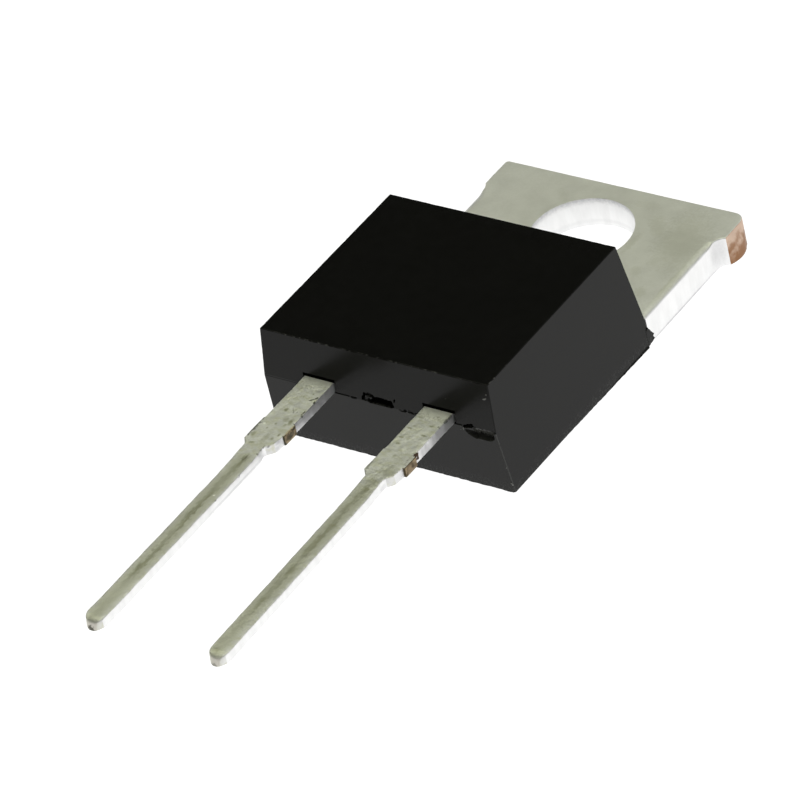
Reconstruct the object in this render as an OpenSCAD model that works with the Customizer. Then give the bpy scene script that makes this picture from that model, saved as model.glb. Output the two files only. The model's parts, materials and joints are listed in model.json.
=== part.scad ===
// Two-lead power rectifier diode: a moulded body on a copper heat spreader.
// The origin is the centre of the screw hole, on the back face of the tab.
// +X runs across the width, +Y towards the free end of the tab, +Z towards the plain top face.

/* [Tab] */
// Width of the tab outside the moulding
tab_w = 9.86; // [9.2:0.02:10.6]
// Thickness of the tab and of the pad inside the moulding
tab_t = 1.2; // [1:0.02:1.4]
// Hole centre to the free end of the tab
tab_end = 2.8; // [2.4:0.05:3.2]
// Diameter of the screw hole
hole_d = 3.9; // [3.2:0.05:4.2]
// How far the cut tie-bar stub stands out on the left edge
stub_left = 0.15; // [0.05:0.01:0.4]
// How far the cut tie-bar stub stands out on the right edge
stub_right = 0.3; // [0.05:0.01:0.4]
// Length of a tie-bar stub along the edge
stub_len = 1.45; // [1:0.05:2]
// Length of the hollow curve between the edge and a stub
stub_flare = 0.45; // [0.4:0.05:0.8]

/* [Pad inside the moulding] */
// Width of the pad above its mould-lock undercut
pad_w = 8.4; // [7.4:0.1:9]
// Free end of the tab to the inner end of the pad
pad_len = 12.55; // [12:0.05:12.8]
// Depth of the undercut along each side of the pad
lock_d = 0.3; // [0.1:0.05:0.5]
// Height of the undercut, from the back face
lock_h = 0.5; // [0.3:0.05:0.7]

/* [Moulding] */
// Height from the back face to the top face
body_h = 4.57; // [4.2:0.01:4.8]
// Width at the back face
body_w = 10.12; // [9.6:0.02:10.6]
// How far the moulding sits right of the hole centre, or left where it is below 0
body_shift = -0.05; // [-0.2:0.01:0.2]
// Hole centre to the front face, at the parting plane
body_front = 12.55; // [12.3:0.05:13]
// Hole centre to the back of the moulding, where it meets the tab
body_back = 3.6; // [3.2:0.02:4]
// Draft of the two sides, in degrees
side_draft = 3.1; // [1:0.1:5]
// Draft of the front face above the parting plane, in degrees
front_draft_top = 8; // [3:0.5:12]
// Draft of the front face below the parting plane, in degrees
front_draft_low = 3.4; // [1:0.1:8]
// Draft of the back face, in degrees
back_draft = 7.9; // [3:0.1:14]
// Depth of the blanked slot where a middle lead would leave
blank_d = 0.3; // [0.1:0.05:0.6]
// Length of the scar where the moulding gate broke off
gate_len = 1.3; // [0.8:0.05:1.4]
// Height of the gate scar
gate_h = 0.42; // [0.2:0.02:0.6]
// Depth of the gate scar
gate_d = 0.2; // [0.05:0.05:0.4]

/* [Leads] */
// Distance between the lead centres
lead_pitch = 5.08; // [4.8:0.02:5.4]
// Back face of the tab to the underside of the leads, which is the parting plane
lead_z = 2.67; // [2.4:0.01:2.9]
// Thickness of the lead strip
lead_t = 0.4; // [0.36:0.01:0.6]
// Front face of the moulding to the lead tips
lead_len = 13.7; // [8:0.05:14.7]
// Width of a lead at its shoulder
shoulder_w = 1.25; // [1.1:0.01:1.7]
// Width of a lead past its shoulder
pin_w = 0.76; // [0.6:0.01:1]
// Front face of the moulding to the dam-bar stubs
bar_from = 2.4; // [1.8:0.05:2.8]
// Length of a dam-bar stub along the lead
bar_len = 0.65; // [0.4:0.05:1]
// How far a dam-bar stub stands out
bar_out = 0.06; // [0.02:0.01:0.15]
// How far the left edge of the shoulder runs past the stub
shoulder_past = 0.55; // [0.1:0.05:1]
// Length of the slanted step at the left of the shoulder
step_len = 0.2; // [0.1:0.05:0.4]
// Length of the hollow curve at the right of the shoulder
flare_len = 1; // [0.6:0.05:1.4]
// Chamfer round a lead tip
tip = 0.15; // [0.05:0.01:0.17]
// Slope of the formed bridge from the pad up to the cathode lead, in degrees
bridge_angle = 55; // [45:1:70]
// Flat run of the bridge before its first bend
bridge_run = 0.1; // [0.05:0.05:0.3]

/* [Chip and bond wires] */
// Side of the square silicon chip
chip_w = 3.2; // [2.9:0.1:4]
// Thickness of the chip
chip_t = 0.28; // [0.2:0.02:0.4]
// Hole centre to the chip centre
chip_y = 6.9; // [6:0.1:7.4]
// Thickness of the solder under the chip
solder_t = 0.06; // [0.03:0.01:0.12]
// How far the solder spreads past the chip
solder_spread = 0.12; // [0.02:0.02:0.3]
// Width of the anode bond post, from the outer edge of its lead
post_w = 3.7; // [3.3:0.1:4.4]
// Length of the bond post
post_len = 1.5; // [1.2:0.1:1.7]
// Front face of the moulding to the bond post
post_gap = 0.75; // [0.5:0.05:1]
// Diameter of a bond wire
wire_d = 0.38; // [0.2:0.02:0.5]
// Diameter of the pressed foot of a bond wire
foot_d = 0.5; // [0.44:0.02:0.7]
// Length of the pressed foot
foot_len = 0.8; // [0.6:0.05:1]
// Distance between the two bond wires
wire_gap = 1; // [0.8:0.05:1.2]
// Rise of a bond wire above the straight line between its feet
wire_rise = 0.9; // [0.6:0.05:1.2]

/* [Hidden] */
$fn = 64;

// Clear length by which a cutter passes the face it cuts
past = 1;
// Overlap of the bridge strip with the pad it grows from
weld = 0.5;

pad_end = pad_len - tab_end;
stub_y = tab_end - stub_len - stub_flare;
bar_start = body_front + bar_from;
bar_end = bar_start + bar_len;
shoulder_end = bar_end + shoulder_past;
lead_end = body_front + lead_len;
lead_x = lead_pitch / 2;
lead_top = lead_z + lead_t;

front_y_low = body_front - lead_z * tan(front_draft_low);
front_y_top = body_front - (body_h - lead_z) * tan(front_draft_top);
back_y_top = body_back + (body_h - tab_t) * tan(back_draft);

chip_z = tab_t + solder_t;
chip_top = chip_z + chip_t;
post_front = body_front - post_gap;
post_back = post_front - post_len;
post_x = lead_x + (shoulder_w - post_w) / 2;

mould_black = "#2a2a2b";
tin_grey = "#a3a594";
chip_grey = "#5b6068";
solder_grey = "#8d8f90";
wire_silver = "#c9ccd0";

// Points of a hollow curve that leaves an edge along its tangent, as [rise, distance along].
function hollow(along, rise, steps = 8) =
    let (r = (along * along + rise * rise) / (2 * rise), sweep = asin(along / r))
    [for (i = [0 : steps]) [r * (1 - cos(sweep * i / steps)), r * sin(sweep * i / steps)]];

// A list in the opposite order
function reversed(points) = [for (i = [len(points) - 1 : -1 : 0]) points[i]];

// One edge of the tab with its tie-bar stub, on the side given by its sign.
function tab_edge(side, stub) = concat(
    [[side * tab_w / 2, -body_back]],
    [for (p = hollow(stub_flare, stub)) [side * (tab_w / 2 + p[0]), stub_y + p[1]]],
    [[side * (tab_w / 2 + stub), tab_end]]);

// Outline of the tab and the pad behind it, which has the given width.
function tab_outline(inner_w) = concat(
    [[-inner_w / 2, -body_back], [-inner_w / 2, -pad_end]],
    [[inner_w / 2, -pad_end], [inner_w / 2, -body_back]],
    tab_edge(1, stub_right),
    reversed(tab_edge(-1, stub_left)));

// Outline of a lead seen from above, about its own centre line. The list closes its inner end.
function lead_outline(inner) = concat(
    inner,
    [[-shoulder_w / 2, -bar_start], [-shoulder_w / 2 - bar_out, -bar_start]],
    [[-shoulder_w / 2 - bar_out, -bar_end], [-shoulder_w / 2, -bar_end]],
    [[-shoulder_w / 2, -shoulder_end], [-pin_w / 2, -shoulder_end - step_len]],
    [[-pin_w / 2, -lead_end + tip], [-pin_w / 2 + tip, -lead_end]],
    [[pin_w / 2 - tip, -lead_end], [pin_w / 2, -lead_end + tip]],
    [for (p = hollow(flare_len, (shoulder_w - pin_w) / 2))
        [pin_w / 2 + p[0], p[1] - bar_end - flare_len]],
    [[shoulder_w / 2 + bar_out, -bar_end], [shoulder_w / 2 + bar_out, -bar_start]],
    [[shoulder_w / 2, -bar_start]]);

// Side view of the outer end of a lead strip, chamfered at its tip, from top to underside.
function strip_tip() = [
    [-lead_end + tip, lead_top],
    [-lead_end, lead_top - tip],
    [-lead_end, lead_z + tip],
    [-lead_end + tip, lead_z]];

// A side view, given as [y, z], drawn out across the width of the part.
module across(width) {
    rotate([90, 0, 90])
        linear_extrude(width, center = true) children();
}

// A lead strip: its plan outline cut from its side view.
module lead_strip(plan, side_view) {
    intersection() {
        linear_extrude(body_h) polygon(plan);
        across(2 * body_w) polygon(side_view);
    }
}

// Block of the moulding: the front view and the side view drawn out through each other.
module moulding_block() {
    top_w = body_w - 2 * body_h * tan(side_draft);
    intersection() {
        translate([body_shift, 0, 0])
            rotate([90, 0, 0])
                linear_extrude(body_front + past)
                    polygon([[-body_w / 2, 0], [body_w / 2, 0], [top_w / 2, body_h], [-top_w / 2, body_h]]);
        across(2 * body_w)
            polygon([
                [-front_y_low, 0], [-body_back, 0], [-body_back, tab_t],
                [-back_y_top, body_h], [-front_y_top, body_h], [-body_front, lead_z]]);
    }
}

// Slot of a middle lead that this two-lead part goes without.
module blanked_slot() {
    translate([-shoulder_w / 2, -body_front - past, lead_z])
        cube([shoulder_w, past + blank_d, lead_t]);
}

// Lens-shaped scar under the parting plane, between the anode lead and the corner.
module gate_scar() {
    arc_r = (gate_len * gate_len / 4 + gate_h * gate_h / 4) / gate_h;
    corner_x = body_shift + body_w / 2;
    scar_x = (lead_x + shoulder_w / 2 + corner_x) / 2;
    translate([scar_x, 0, lead_z - gate_h / 2])
        rotate([90, 0, 0])
            translate([0, 0, body_front - gate_d])
                linear_extrude(past)
                    intersection() {
                        translate([0, arc_r - gate_h / 2]) circle(arc_r);
                        translate([0, gate_h / 2 - arc_r]) circle(arc_r);
                    }
}

module body() {
    color(mould_black)
        difference() {
            moulding_block();
            cathode_tab();
            anode_lead();
            chip_solder();
            diode_chip();
            bond_wire_left();
            bond_wire_right();
            blanked_slot();
            gate_scar();
        }
}

// Formed strip that climbs from the pad to the cathode lead and runs out to its tip.
module cathode_strip() {
    mitre = lead_t * tan(bridge_angle / 2);
    low_z = tab_t - lead_t;
    low_bend = -pad_end - bridge_run - mitre;
    high_bend = low_bend - (lead_z - low_z) / tan(bridge_angle);
    root_y = -pad_end + weld;
    plan = lead_outline([[shoulder_w / 2, root_y], [-shoulder_w / 2, root_y]]);
    side_view = concat(
        [[root_y, low_z], [root_y, tab_t], [low_bend + mitre, tab_t], [high_bend + mitre, lead_top]],
        strip_tip(),
        [[high_bend, lead_z], [low_bend, low_z]]);
    translate([-lead_x, 0, 0]) lead_strip(plan, side_view);
}

module cathode_tab() {
    color(tin_grey)
        difference() {
            union() {
                linear_extrude(lock_h) polygon(tab_outline(pad_w - 2 * lock_d));
                translate([0, 0, lock_h])
                    linear_extrude(tab_t - lock_h) polygon(tab_outline(pad_w));
                cathode_strip();
            }
            translate([0, 0, -past]) cylinder(d = hole_d, h = tab_t + 2 * past);
        }
}

module anode_lead() {
    outer = shoulder_w / 2;
    plan = lead_outline([
        [outer, -post_back], [outer - post_w, -post_back],
        [outer - post_w, -post_front], [-outer, -post_front]]);
    side_view = concat([[-post_back, lead_z], [-post_back, lead_top]], strip_tip());
    color(tin_grey)
        translate([lead_x, 0, 0]) lead_strip(plan, side_view);
}

module diode_chip() {
    color(chip_grey)
        translate([-chip_w / 2, -chip_y - chip_w / 2, chip_z])
            cube([chip_w, chip_w, chip_t]);
}

module chip_solder() {
    solder_w = chip_w + 2 * solder_spread;
    color(solder_grey)
        translate([-solder_w / 2, -chip_y - solder_w / 2, tab_t])
            cube([solder_w, solder_w, solder_t]);
}

// Pressed foot of a bond wire, flat where it is welded to the face at the given height.
module wire_foot(y, face_z) {
    intersection() {
        translate([0, y, face_z + wire_d / 2])
            rotate([90, 0, 0]) cylinder(d = foot_d, h = foot_len, center = true);
        translate([-foot_d, y - foot_len, face_z])
            cube([2 * foot_d, 2 * foot_len, 2 * foot_d]);
    }
}

// Bond wire from the chip to the post: one arc between two pressed feet.
module bond_wire(x) {
    chip_foot = [-chip_y, chip_top + wire_d / 2];
    post_foot = [-(post_front + post_back) / 2, lead_top + wire_d / 2];
    chord = post_foot - chip_foot;
    r = (chord * chord / 4 + wire_rise * wire_rise) / (2 * wire_rise);
    upward = [chord[1], -chord[0]] / norm(chord);
    centre = (chip_foot + post_foot) / 2 + upward * (wire_rise - r);
    from_angle = atan2(chip_foot[1] - centre[1], chip_foot[0] - centre[0]);
    to_angle = atan2(post_foot[1] - centre[1], post_foot[0] - centre[0]);
    color(wire_silver)
        translate([x, 0, 0]) {
            wire_foot(chip_foot[0], chip_top);
            wire_foot(post_foot[0], lead_top);
            translate([0, centre[0], centre[1]])
                rotate([90, 0, 90])
                    rotate([0, 0, from_angle])
                        rotate_extrude(angle = to_angle - from_angle)
                            translate([r, 0]) circle(d = wire_d);
        }
}

module bond_wire_left() {
    bond_wire(post_x / 2 - wire_gap / 2);
}

module bond_wire_right() {
    bond_wire(post_x / 2 + wire_gap / 2);
}

body();
cathode_tab();
anode_lead();
diode_chip();
chip_solder();
bond_wire_left();
bond_wire_right();
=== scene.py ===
"""Two-lead power rectifier diode: dressed meshes, finishes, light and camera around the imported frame.

Meshes are shaped in millimetres, in the part's own frame, and become objects in metres.
The origin is the centre of the screw hole on the back face of the tab, and the leads run towards -Y.
"""

import json
import logging
import math
from collections.abc import Callable, Iterable, Sequence
from dataclasses import dataclass, field, replace
from enum import Enum

import bmesh
import bpy
from bmesh.types import BMEdge, BMesh, BMFace, BMVert
from mathutils import Matrix, Vector, noise


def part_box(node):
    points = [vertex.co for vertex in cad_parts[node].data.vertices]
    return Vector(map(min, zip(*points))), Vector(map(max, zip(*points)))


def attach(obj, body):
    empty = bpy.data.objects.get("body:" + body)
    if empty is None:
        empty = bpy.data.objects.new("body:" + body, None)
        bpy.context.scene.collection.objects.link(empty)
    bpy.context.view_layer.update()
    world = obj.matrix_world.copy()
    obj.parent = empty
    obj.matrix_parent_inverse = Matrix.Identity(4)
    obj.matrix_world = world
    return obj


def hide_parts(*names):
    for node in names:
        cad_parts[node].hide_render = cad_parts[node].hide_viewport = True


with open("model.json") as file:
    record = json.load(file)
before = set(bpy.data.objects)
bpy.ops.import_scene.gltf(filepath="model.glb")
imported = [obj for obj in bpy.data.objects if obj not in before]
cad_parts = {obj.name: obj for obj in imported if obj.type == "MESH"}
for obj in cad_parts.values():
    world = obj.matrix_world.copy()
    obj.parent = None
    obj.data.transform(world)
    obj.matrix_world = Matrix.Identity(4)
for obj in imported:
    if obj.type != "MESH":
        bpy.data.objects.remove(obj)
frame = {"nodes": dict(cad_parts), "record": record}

LOG = logging.getLogger("rectifier_diode")
MM = 0.001
BODY_NAME = "root"
TINY = 1e-4
NOISE_SEED = 7
PITCH_HALF = 2.54
WHITE = (1.0, 1.0, 1.0)
PAPER_LIGHT = (0.97, 1.0, 0.80)
AXIS_X = Vector((1.0, 0.0, 0.0))
AXIS_Y = Vector((0.0, 1.0, 0.0))
AXIS_Z = Vector((0.0, 0.0, 1.0))

Colour = tuple[float, float, float]
Triple = tuple[float, float, float]
Span = tuple[float, float]
Plane = tuple[Vector, Vector]
Socket = bpy.types.NodeSocket
FaceTest = Callable[[Vector, Vector], bool]


class Trace(Enum):
    """Trace of work or wear on a face, kept as a layer of the mesh."""

    BARE = "bare"
    BURNISHED = "burnished"
    WORN = "worn"
    BROKEN = "broken"


@dataclass(frozen=True)
class MarkLook:
    """Look of a kind of mark: its colour, the share of its radius that fades, and its border's waver."""

    colour: Colour
    soft: float
    waver: float


class MarkKind(Enum):
    """Kinds of mark on the plate, each with its look."""

    # Stains on the leads; on the tab it also paints shade along the rolled right edge
    STAIN_AND_SHADE = MarkLook((0.42, 0.42, 0.31), soft=0.9, waver=0.15)
    # Painted highlight: a white spot laid on the plate as if it caught the light
    PAINTED_HIGHLIGHT = MarkLook((1.0, 1.0, 0.95), soft=0.6, waver=0.3)
    # Painted shade on the sheared sides: grey laid where their bright metal falls into shade
    PAINTED_SHADE = MarkLook((0.50, 0.50, 0.51), soft=0.8, waver=0.08)
    DARK = MarkLook((0.07, 0.07, 0.05), soft=0.6, waver=0.4)
    BROWN = MarkLook((0.07, 0.045, 0.028), soft=0.4, waver=0.45)
    # Painted golden highlight along the copper stub's top rim
    GOLD = MarkLook((0.66, 0.55, 0.36), soft=0.5, waver=0.45)


class Side(Enum):
    """Long side of the part, seen from the plain top face with the leads towards the viewer."""

    LEFT = -1
    RIGHT = 1


def smooth_step(low: float, high: float, value: float) -> float:
    """Eases from 0 at low to 1 at high.

    Args:
        low: Value where the step starts.
        high: Value where the step ends.
        value: Value to place on the step.

    Returns:
        The eased share, from 0 to 1.
    """
    share = min(1.0, max(0.0, (value - low) / (high - low)))
    return share * share * (3.0 - 2.0 * share)


def hollow_radius(along: float, rise: float) -> float:
    """Radius of the arc that leaves an edge along its tangent and rises by that much over that length."""
    return (along * along + rise * rise) / (2.0 * rise)


def planes_at(axis: Vector, *places: float) -> list[Plane]:
    """Planes across an axis, at places along it."""
    return [(axis * place, axis) for place in places]


def centre_of(face: BMFace) -> Vector:
    """Middle of a face."""
    return face.calc_center_median()


def node_box(node: str) -> tuple[Vector, Vector]:
    """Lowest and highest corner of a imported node, in millimetres."""
    low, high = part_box(node)
    return low / MM, high / MM


def mount_size(name: str, size: str) -> float:
    """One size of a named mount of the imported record, in millimetres."""
    return next(m["dims"][size] for m in frame["record"]["mounts"] if m["name"] == name)


class MeshBench:
    """One mesh on the bench, in millimetres, shaped with bmesh operators."""

    CREASE = math.radians(38.0)
    LEVEL = 0.999

    def __init__(self) -> None:
        """Starts an empty mesh with a face layer for each kind of trace."""
        self.bm: BMesh = bmesh.new()
        for trace in Trace:
            self.bm.faces.layers.float.new(trace.value)

    def faces(self, test: FaceTest) -> list[BMFace]:
        """Faces whose centre and normal pass a test."""
        return [f for f in self.bm.faces if test(centre_of(f), f.normal)]

    def leave(self, trace: Trace, amount: Callable[[BMFace], float]) -> None:
        """Leaves a trace on every face.

        Args:
            trace: Kind of trace.
            amount: How much of it a face takes, from 0 to 1.
        """
        self.bm.normal_update()
        layer = self.bm.faces.layers.float[trace.value]
        for face in self.bm.faces:
            face[layer] = amount(face)

    def sharp_edges(self, test: Callable[[Vector], bool]) -> list[BMEdge]:
        """Finds edges between faces that meet at a marked angle.

        Args:
            test: What the middle of an edge has to pass.

        Returns:
            The edges.
        """
        found = []
        for edge in self.bm.edges:
            middle = (edge.verts[0].co + edge.verts[1].co) / 2.0
            if len(edge.link_faces) == 2 and edge.calc_face_angle() > self.CREASE and test(middle):
                found.append(edge)
        return found

    def tidy(self) -> None:
        """Merges doubled vertices and turns every face outwards."""
        bmesh.ops.remove_doubles(self.bm, verts=self.bm.verts, dist=TINY)
        bmesh.ops.recalc_face_normals(self.bm, faces=self.bm.faces)
        self.bm.normal_update()

    def thicken(self, faces: Sequence[BMFace], offset: Vector) -> list[BMFace]:
        """Draws faces out along an offset, and keeps the old ones as the other end.

        Args:
            faces: Faces to draw out as one region.
            offset: How far they go.

        Returns:
            The faces at the new place.
        """
        made = bmesh.ops.extrude_face_region(self.bm, geom=list(faces))["geom"]
        verts = [g for g in made if isinstance(g, BMVert)]
        bmesh.ops.translate(self.bm, vec=offset, verts=verts)
        self.bm.normal_update()
        return [g for g in made if isinstance(g, BMFace)]

    def extrude(self, faces: Sequence[BMFace], offset: Vector) -> list[BMFace]:
        """Moves a region of a closed shell along an offset, with new walls round it.

        Args:
            faces: Faces of the region.
            offset: How far they go.

        Returns:
            The faces at the new place.
        """
        made = self.thicken(faces, offset)
        bmesh.ops.delete(self.bm, geom=list(faces), context="FACES")
        return made

    def bevel(self, edges: Sequence[BMEdge], width: float, segments: int) -> list[BMFace]:
        """Rounds edges, and shades the new faces smooth.

        Args:
            edges: Edges to round.
            width: Distance of the rounding from the old edge.
            segments: Steps of the rounding.

        Returns:
            The faces of the rounding.
        """
        made = bmesh.ops.bevel(
            self.bm, geom=list(edges), offset=width, offset_type="OFFSET", segments=segments,
            profile=0.5, affect="EDGES", clamp_overlap=True, material=-1)["faces"]
        for face in made:
            face.smooth = True
        self.bm.normal_update()
        return made

    def cut(self, faces: Iterable[BMFace], planes: Sequence[Plane]) -> list[BMFace]:
        """Cuts faces along planes, one after the other.

        Args:
            faces: Faces to cut.
            planes: A point and a normal for each plane.

        Returns:
            Every face that the given ones became.
        """
        region = list(faces)
        for point, normal in planes:
            # In a fixed order, so that every run makes the same mesh
            edges = dict.fromkeys(e for f in region for e in f.edges)
            verts = dict.fromkeys(v for f in region for v in f.verts)
            done = bmesh.ops.bisect_plane(
                self.bm, geom=[*region, *edges, *verts], dist=TINY, plane_co=point, plane_no=normal)
            region = [g for g in done["geom"] if isinstance(g, BMFace)]
        self.bm.normal_update()
        return region

    def slice(self, faces: Sequence[BMFace], axis: Vector, step: float) -> list[BMFace]:
        """Slices faces across an axis, a step apart, and leaves their neighbours whole.

        Args:
            faces: Faces to slice.
            axis: Axis that the slices cross.
            step: Distance between slices.

        Returns:
            Every face that the given ones became.
        """
        places = [v.co.dot(axis) for f in faces for v in f.verts]
        low, high = min(places), max(places)
        count = max(1, round((high - low) / step))
        places = [low + (high - low) * i / count for i in range(1, count)]
        return self.cut(faces, planes_at(axis, *places))

    def window(self, faces: Iterable[BMFace], left: float, right: float, low: float,
               high: float) -> list[BMFace]:
        """Cuts an upright window out of faces that look along the part.

        Args:
            faces: Faces to cut.
            left: Left side of the window.
            right: Right side of the window.
            low: Underside of the window.
            high: Top of the window.

        Returns:
            The faces inside the window.
        """
        cells = self.cut(faces, planes_at(AXIS_X, left, right))
        column = [f for f in cells if left < centre_of(f).x < right]
        cells = self.cut(column, planes_at(AXIS_Z, low, high))
        return [f for f in cells if low < centre_of(f).z < high]

    def split_long(self, edges: Iterable[BMEdge], step: float) -> None:
        """Adds vertices along edges.

        Args:
            edges: Edges to split.
            step: Distance between the vertices, about.
        """
        for edge in list(edges):
            cuts = int(edge.calc_length() / step)
            if cuts:
                bmesh.ops.bisect_edges(self.bm, edges=[edge], cuts=cuts)

    def ruffle(self, verts: Iterable[BMVert], depth: float, size: float, along: Vector | None = None) -> None:
        """Moves vertices in and out by smooth noise.

        Args:
            verts: Vertices to move.
            depth: Most that one moves.
            size: Size of the waves.
            along: Direction of the move, or None for each vertex's own normal.
        """
        self.bm.normal_update()
        moves = [(v, (along or v.normal) * noise.noise(v.co / size) * depth) for v in verts]
        for vert, move in moves:
            vert.co += move

    @classmethod
    def strip(cls, sections: Sequence["Section"]) -> "MeshBench":
        """Draws a rounded strip through cross-sections.

        Args:
            sections: Cross-sections in order along the strip.

        Returns:
            A new bench that holds the closed strip.
        """
        bench = cls()
        points = Section.COUNT
        bmesh.ops.create_cone(
            bench.bm, cap_ends=True, segments=points, radius1=1.0, radius2=1.0, depth=1.0)
        lengthwise = [e for e in bench.bm.edges if abs(e.verts[0].co.z - e.verts[1].co.z) > TINY]
        bmesh.ops.subdivide_edges(bench.bm, edges=lengthwise, cuts=len(sections) - 2)
        for vert in bench.bm.verts:
            station = round((0.5 - vert.co.z) * (len(sections) - 1))
            point = round(math.atan2(vert.co.y, vert.co.x) * points / math.tau) % points
            vert.co = sections[station].point(point)
        bench.tidy()
        for face in bench.bm.faces:
            face.smooth = abs(face.normal.z) < cls.LEVEL
        return bench

    def join(self, other: "MeshBench") -> None:
        """Takes over another bench's mesh.

        Args:
            other: Bench that gives up its mesh.
        """
        mesh = bpy.data.meshes.new("joined")
        other.bm.to_mesh(mesh)
        other.bm.free()
        self.bm.from_mesh(mesh)
        bpy.data.meshes.remove(mesh)
        self.bm.normal_update()

    def crease(self) -> None:
        """Keeps edges sharp where smooth faces meet at a marked angle."""
        for edge in self.sharp_edges(lambda _: True):
            edge.smooth = False

    def to_object(self, name: str, material: bpy.types.Material) -> bpy.types.Object:
        """Turns the mesh into an object in metres.

        Args:
            name: Name of the object.
            material: Its one material.

        Returns:
            The object, at the origin and linked to the scene.
        """
        self.tidy()
        self.crease()
        bmesh.ops.scale(self.bm, vec=Vector((MM, MM, MM)), verts=self.bm.verts)
        mesh = bpy.data.meshes.new(name)
        self.bm.to_mesh(mesh)
        self.bm.free()
        mesh.materials.append(material)
        made = bpy.data.objects.new(name, mesh)
        bpy.context.scene.collection.objects.link(made)
        return made


class OutlinePen:
    """Draws one closed outline, edge by edge, on a bench."""

    def __init__(self, bench: MeshBench, start: Vector) -> None:
        """Puts the pen down.

        Args:
            bench: Bench whose mesh takes the outline.
            start: First point of the outline.
        """
        self.bench = bench
        self.first: BMVert = bmesh.ops.create_vert(bench.bm, co=start)["vert"][0]
        self.last = self.first

    def line_to(self, *points: Vector) -> None:
        """Draws straight lines.

        Args:
            *points: Points to go through.
        """
        for point in points:
            made = bmesh.ops.extrude_vert_indiv(self.bench.bm, verts=[self.last])
            self.last = made["verts"][0]
            self.last.co = point

    def arc(self, centre: Vector, angle: float, steps: int) -> None:
        """Draws an arc in the plan of the part.

        Args:
            centre: Centre of the arc.
            angle: Angle to turn by, against the clock seen from the top.
            steps: Chords of the arc.
        """
        made = bmesh.ops.spin(
            self.bench.bm, geom=[self.last], cent=centre, axis=AXIS_Z, angle=angle, steps=steps)
        self.last = next(g for g in made["geom_last"] if isinstance(g, BMVert))

    def fill(self) -> BMFace:
        """Closes the outline and fills it.

        Returns:
            The one face.
        """
        bmesh.ops.contextual_create(self.bench.bm, geom=[self.last, self.first])
        edges = [e for e in self.bench.bm.edges if e.is_wire]
        return bmesh.ops.edgeloop_fill(self.bench.bm, edges=edges)["faces"][0]


@dataclass(frozen=True)
class Mark:
    """A stain, a crack, a painted highlight or painted shade on a stamping, as an oval about a point of its
    plan.
    """

    kind: MarkKind
    across: float
    out: float
    half_len: float
    half_wide: float
    turn: float = 0.0
    amount: float = 1.0
    depth: float = 0.0
    z: float | None = None
    half_high: float = 0.1

    def moved(self, centre: float, front: float, top: float) -> "Mark":
        """The same mark, measured from the part's origin; one without a height of its own goes to the top."""
        z = top if self.z is None else self.z
        return replace(self, across=self.across + centre, out=self.out + front, z=z)

    def sink(self, across: float, out: float) -> float:
        """How far the mark takes a point of the top down.

        Args:
            across: Place of the point across the lead.
            out: Place of the point along the lead.

        Returns:
            The depth at that point.
        """
        turn = math.radians(self.turn)
        along, wide = out - self.out, across - self.across
        first = (along * math.cos(turn) + wide * math.sin(turn)) / self.half_len
        second = (wide * math.cos(turn) - along * math.sin(turn)) / self.half_wide
        return self.depth * max(0.0, 1.0 - first * first - second * second) ** 2


def marks_of(kind: MarkKind, *rows: tuple[float, ...]) -> tuple[Mark, ...]:
    """Marks of one kind, each from a row of its other fields in order."""
    return tuple(Mark(kind, *row) for row in rows)


@dataclass(frozen=True)
class Hollow:
    """Ragged hollow in the front, along a line from one point to another."""

    x_from: float
    z_from: float
    x_to: float
    half: float
    depth: float
    z_to: float

    SOFT = 0.015
    RAGGED = 0.02
    RAG_SIZE = 0.07

    def at(self, across: float, z: float) -> float:
        """Depth of the hollow at a point of the front.

        Args:
            across: Place of the point across the front.
            z: Its height.

        Returns:
            The depth.
        """
        start, end = Vector((self.x_from, self.z_from)), Vector((self.x_to, self.z_to))
        here = Vector((across, z))
        run = end - start
        share = (here - start).dot(run) / max(run.length_squared, TINY)
        far = (here - start - run * min(1.0, max(0.0, share))).length
        ragged = self.RAGGED * noise.noise(Vector((across, 0.0, z)) / self.RAG_SIZE)
        return self.depth * smooth_step(self.half + self.SOFT, self.half - self.SOFT, far + ragged)


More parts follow.
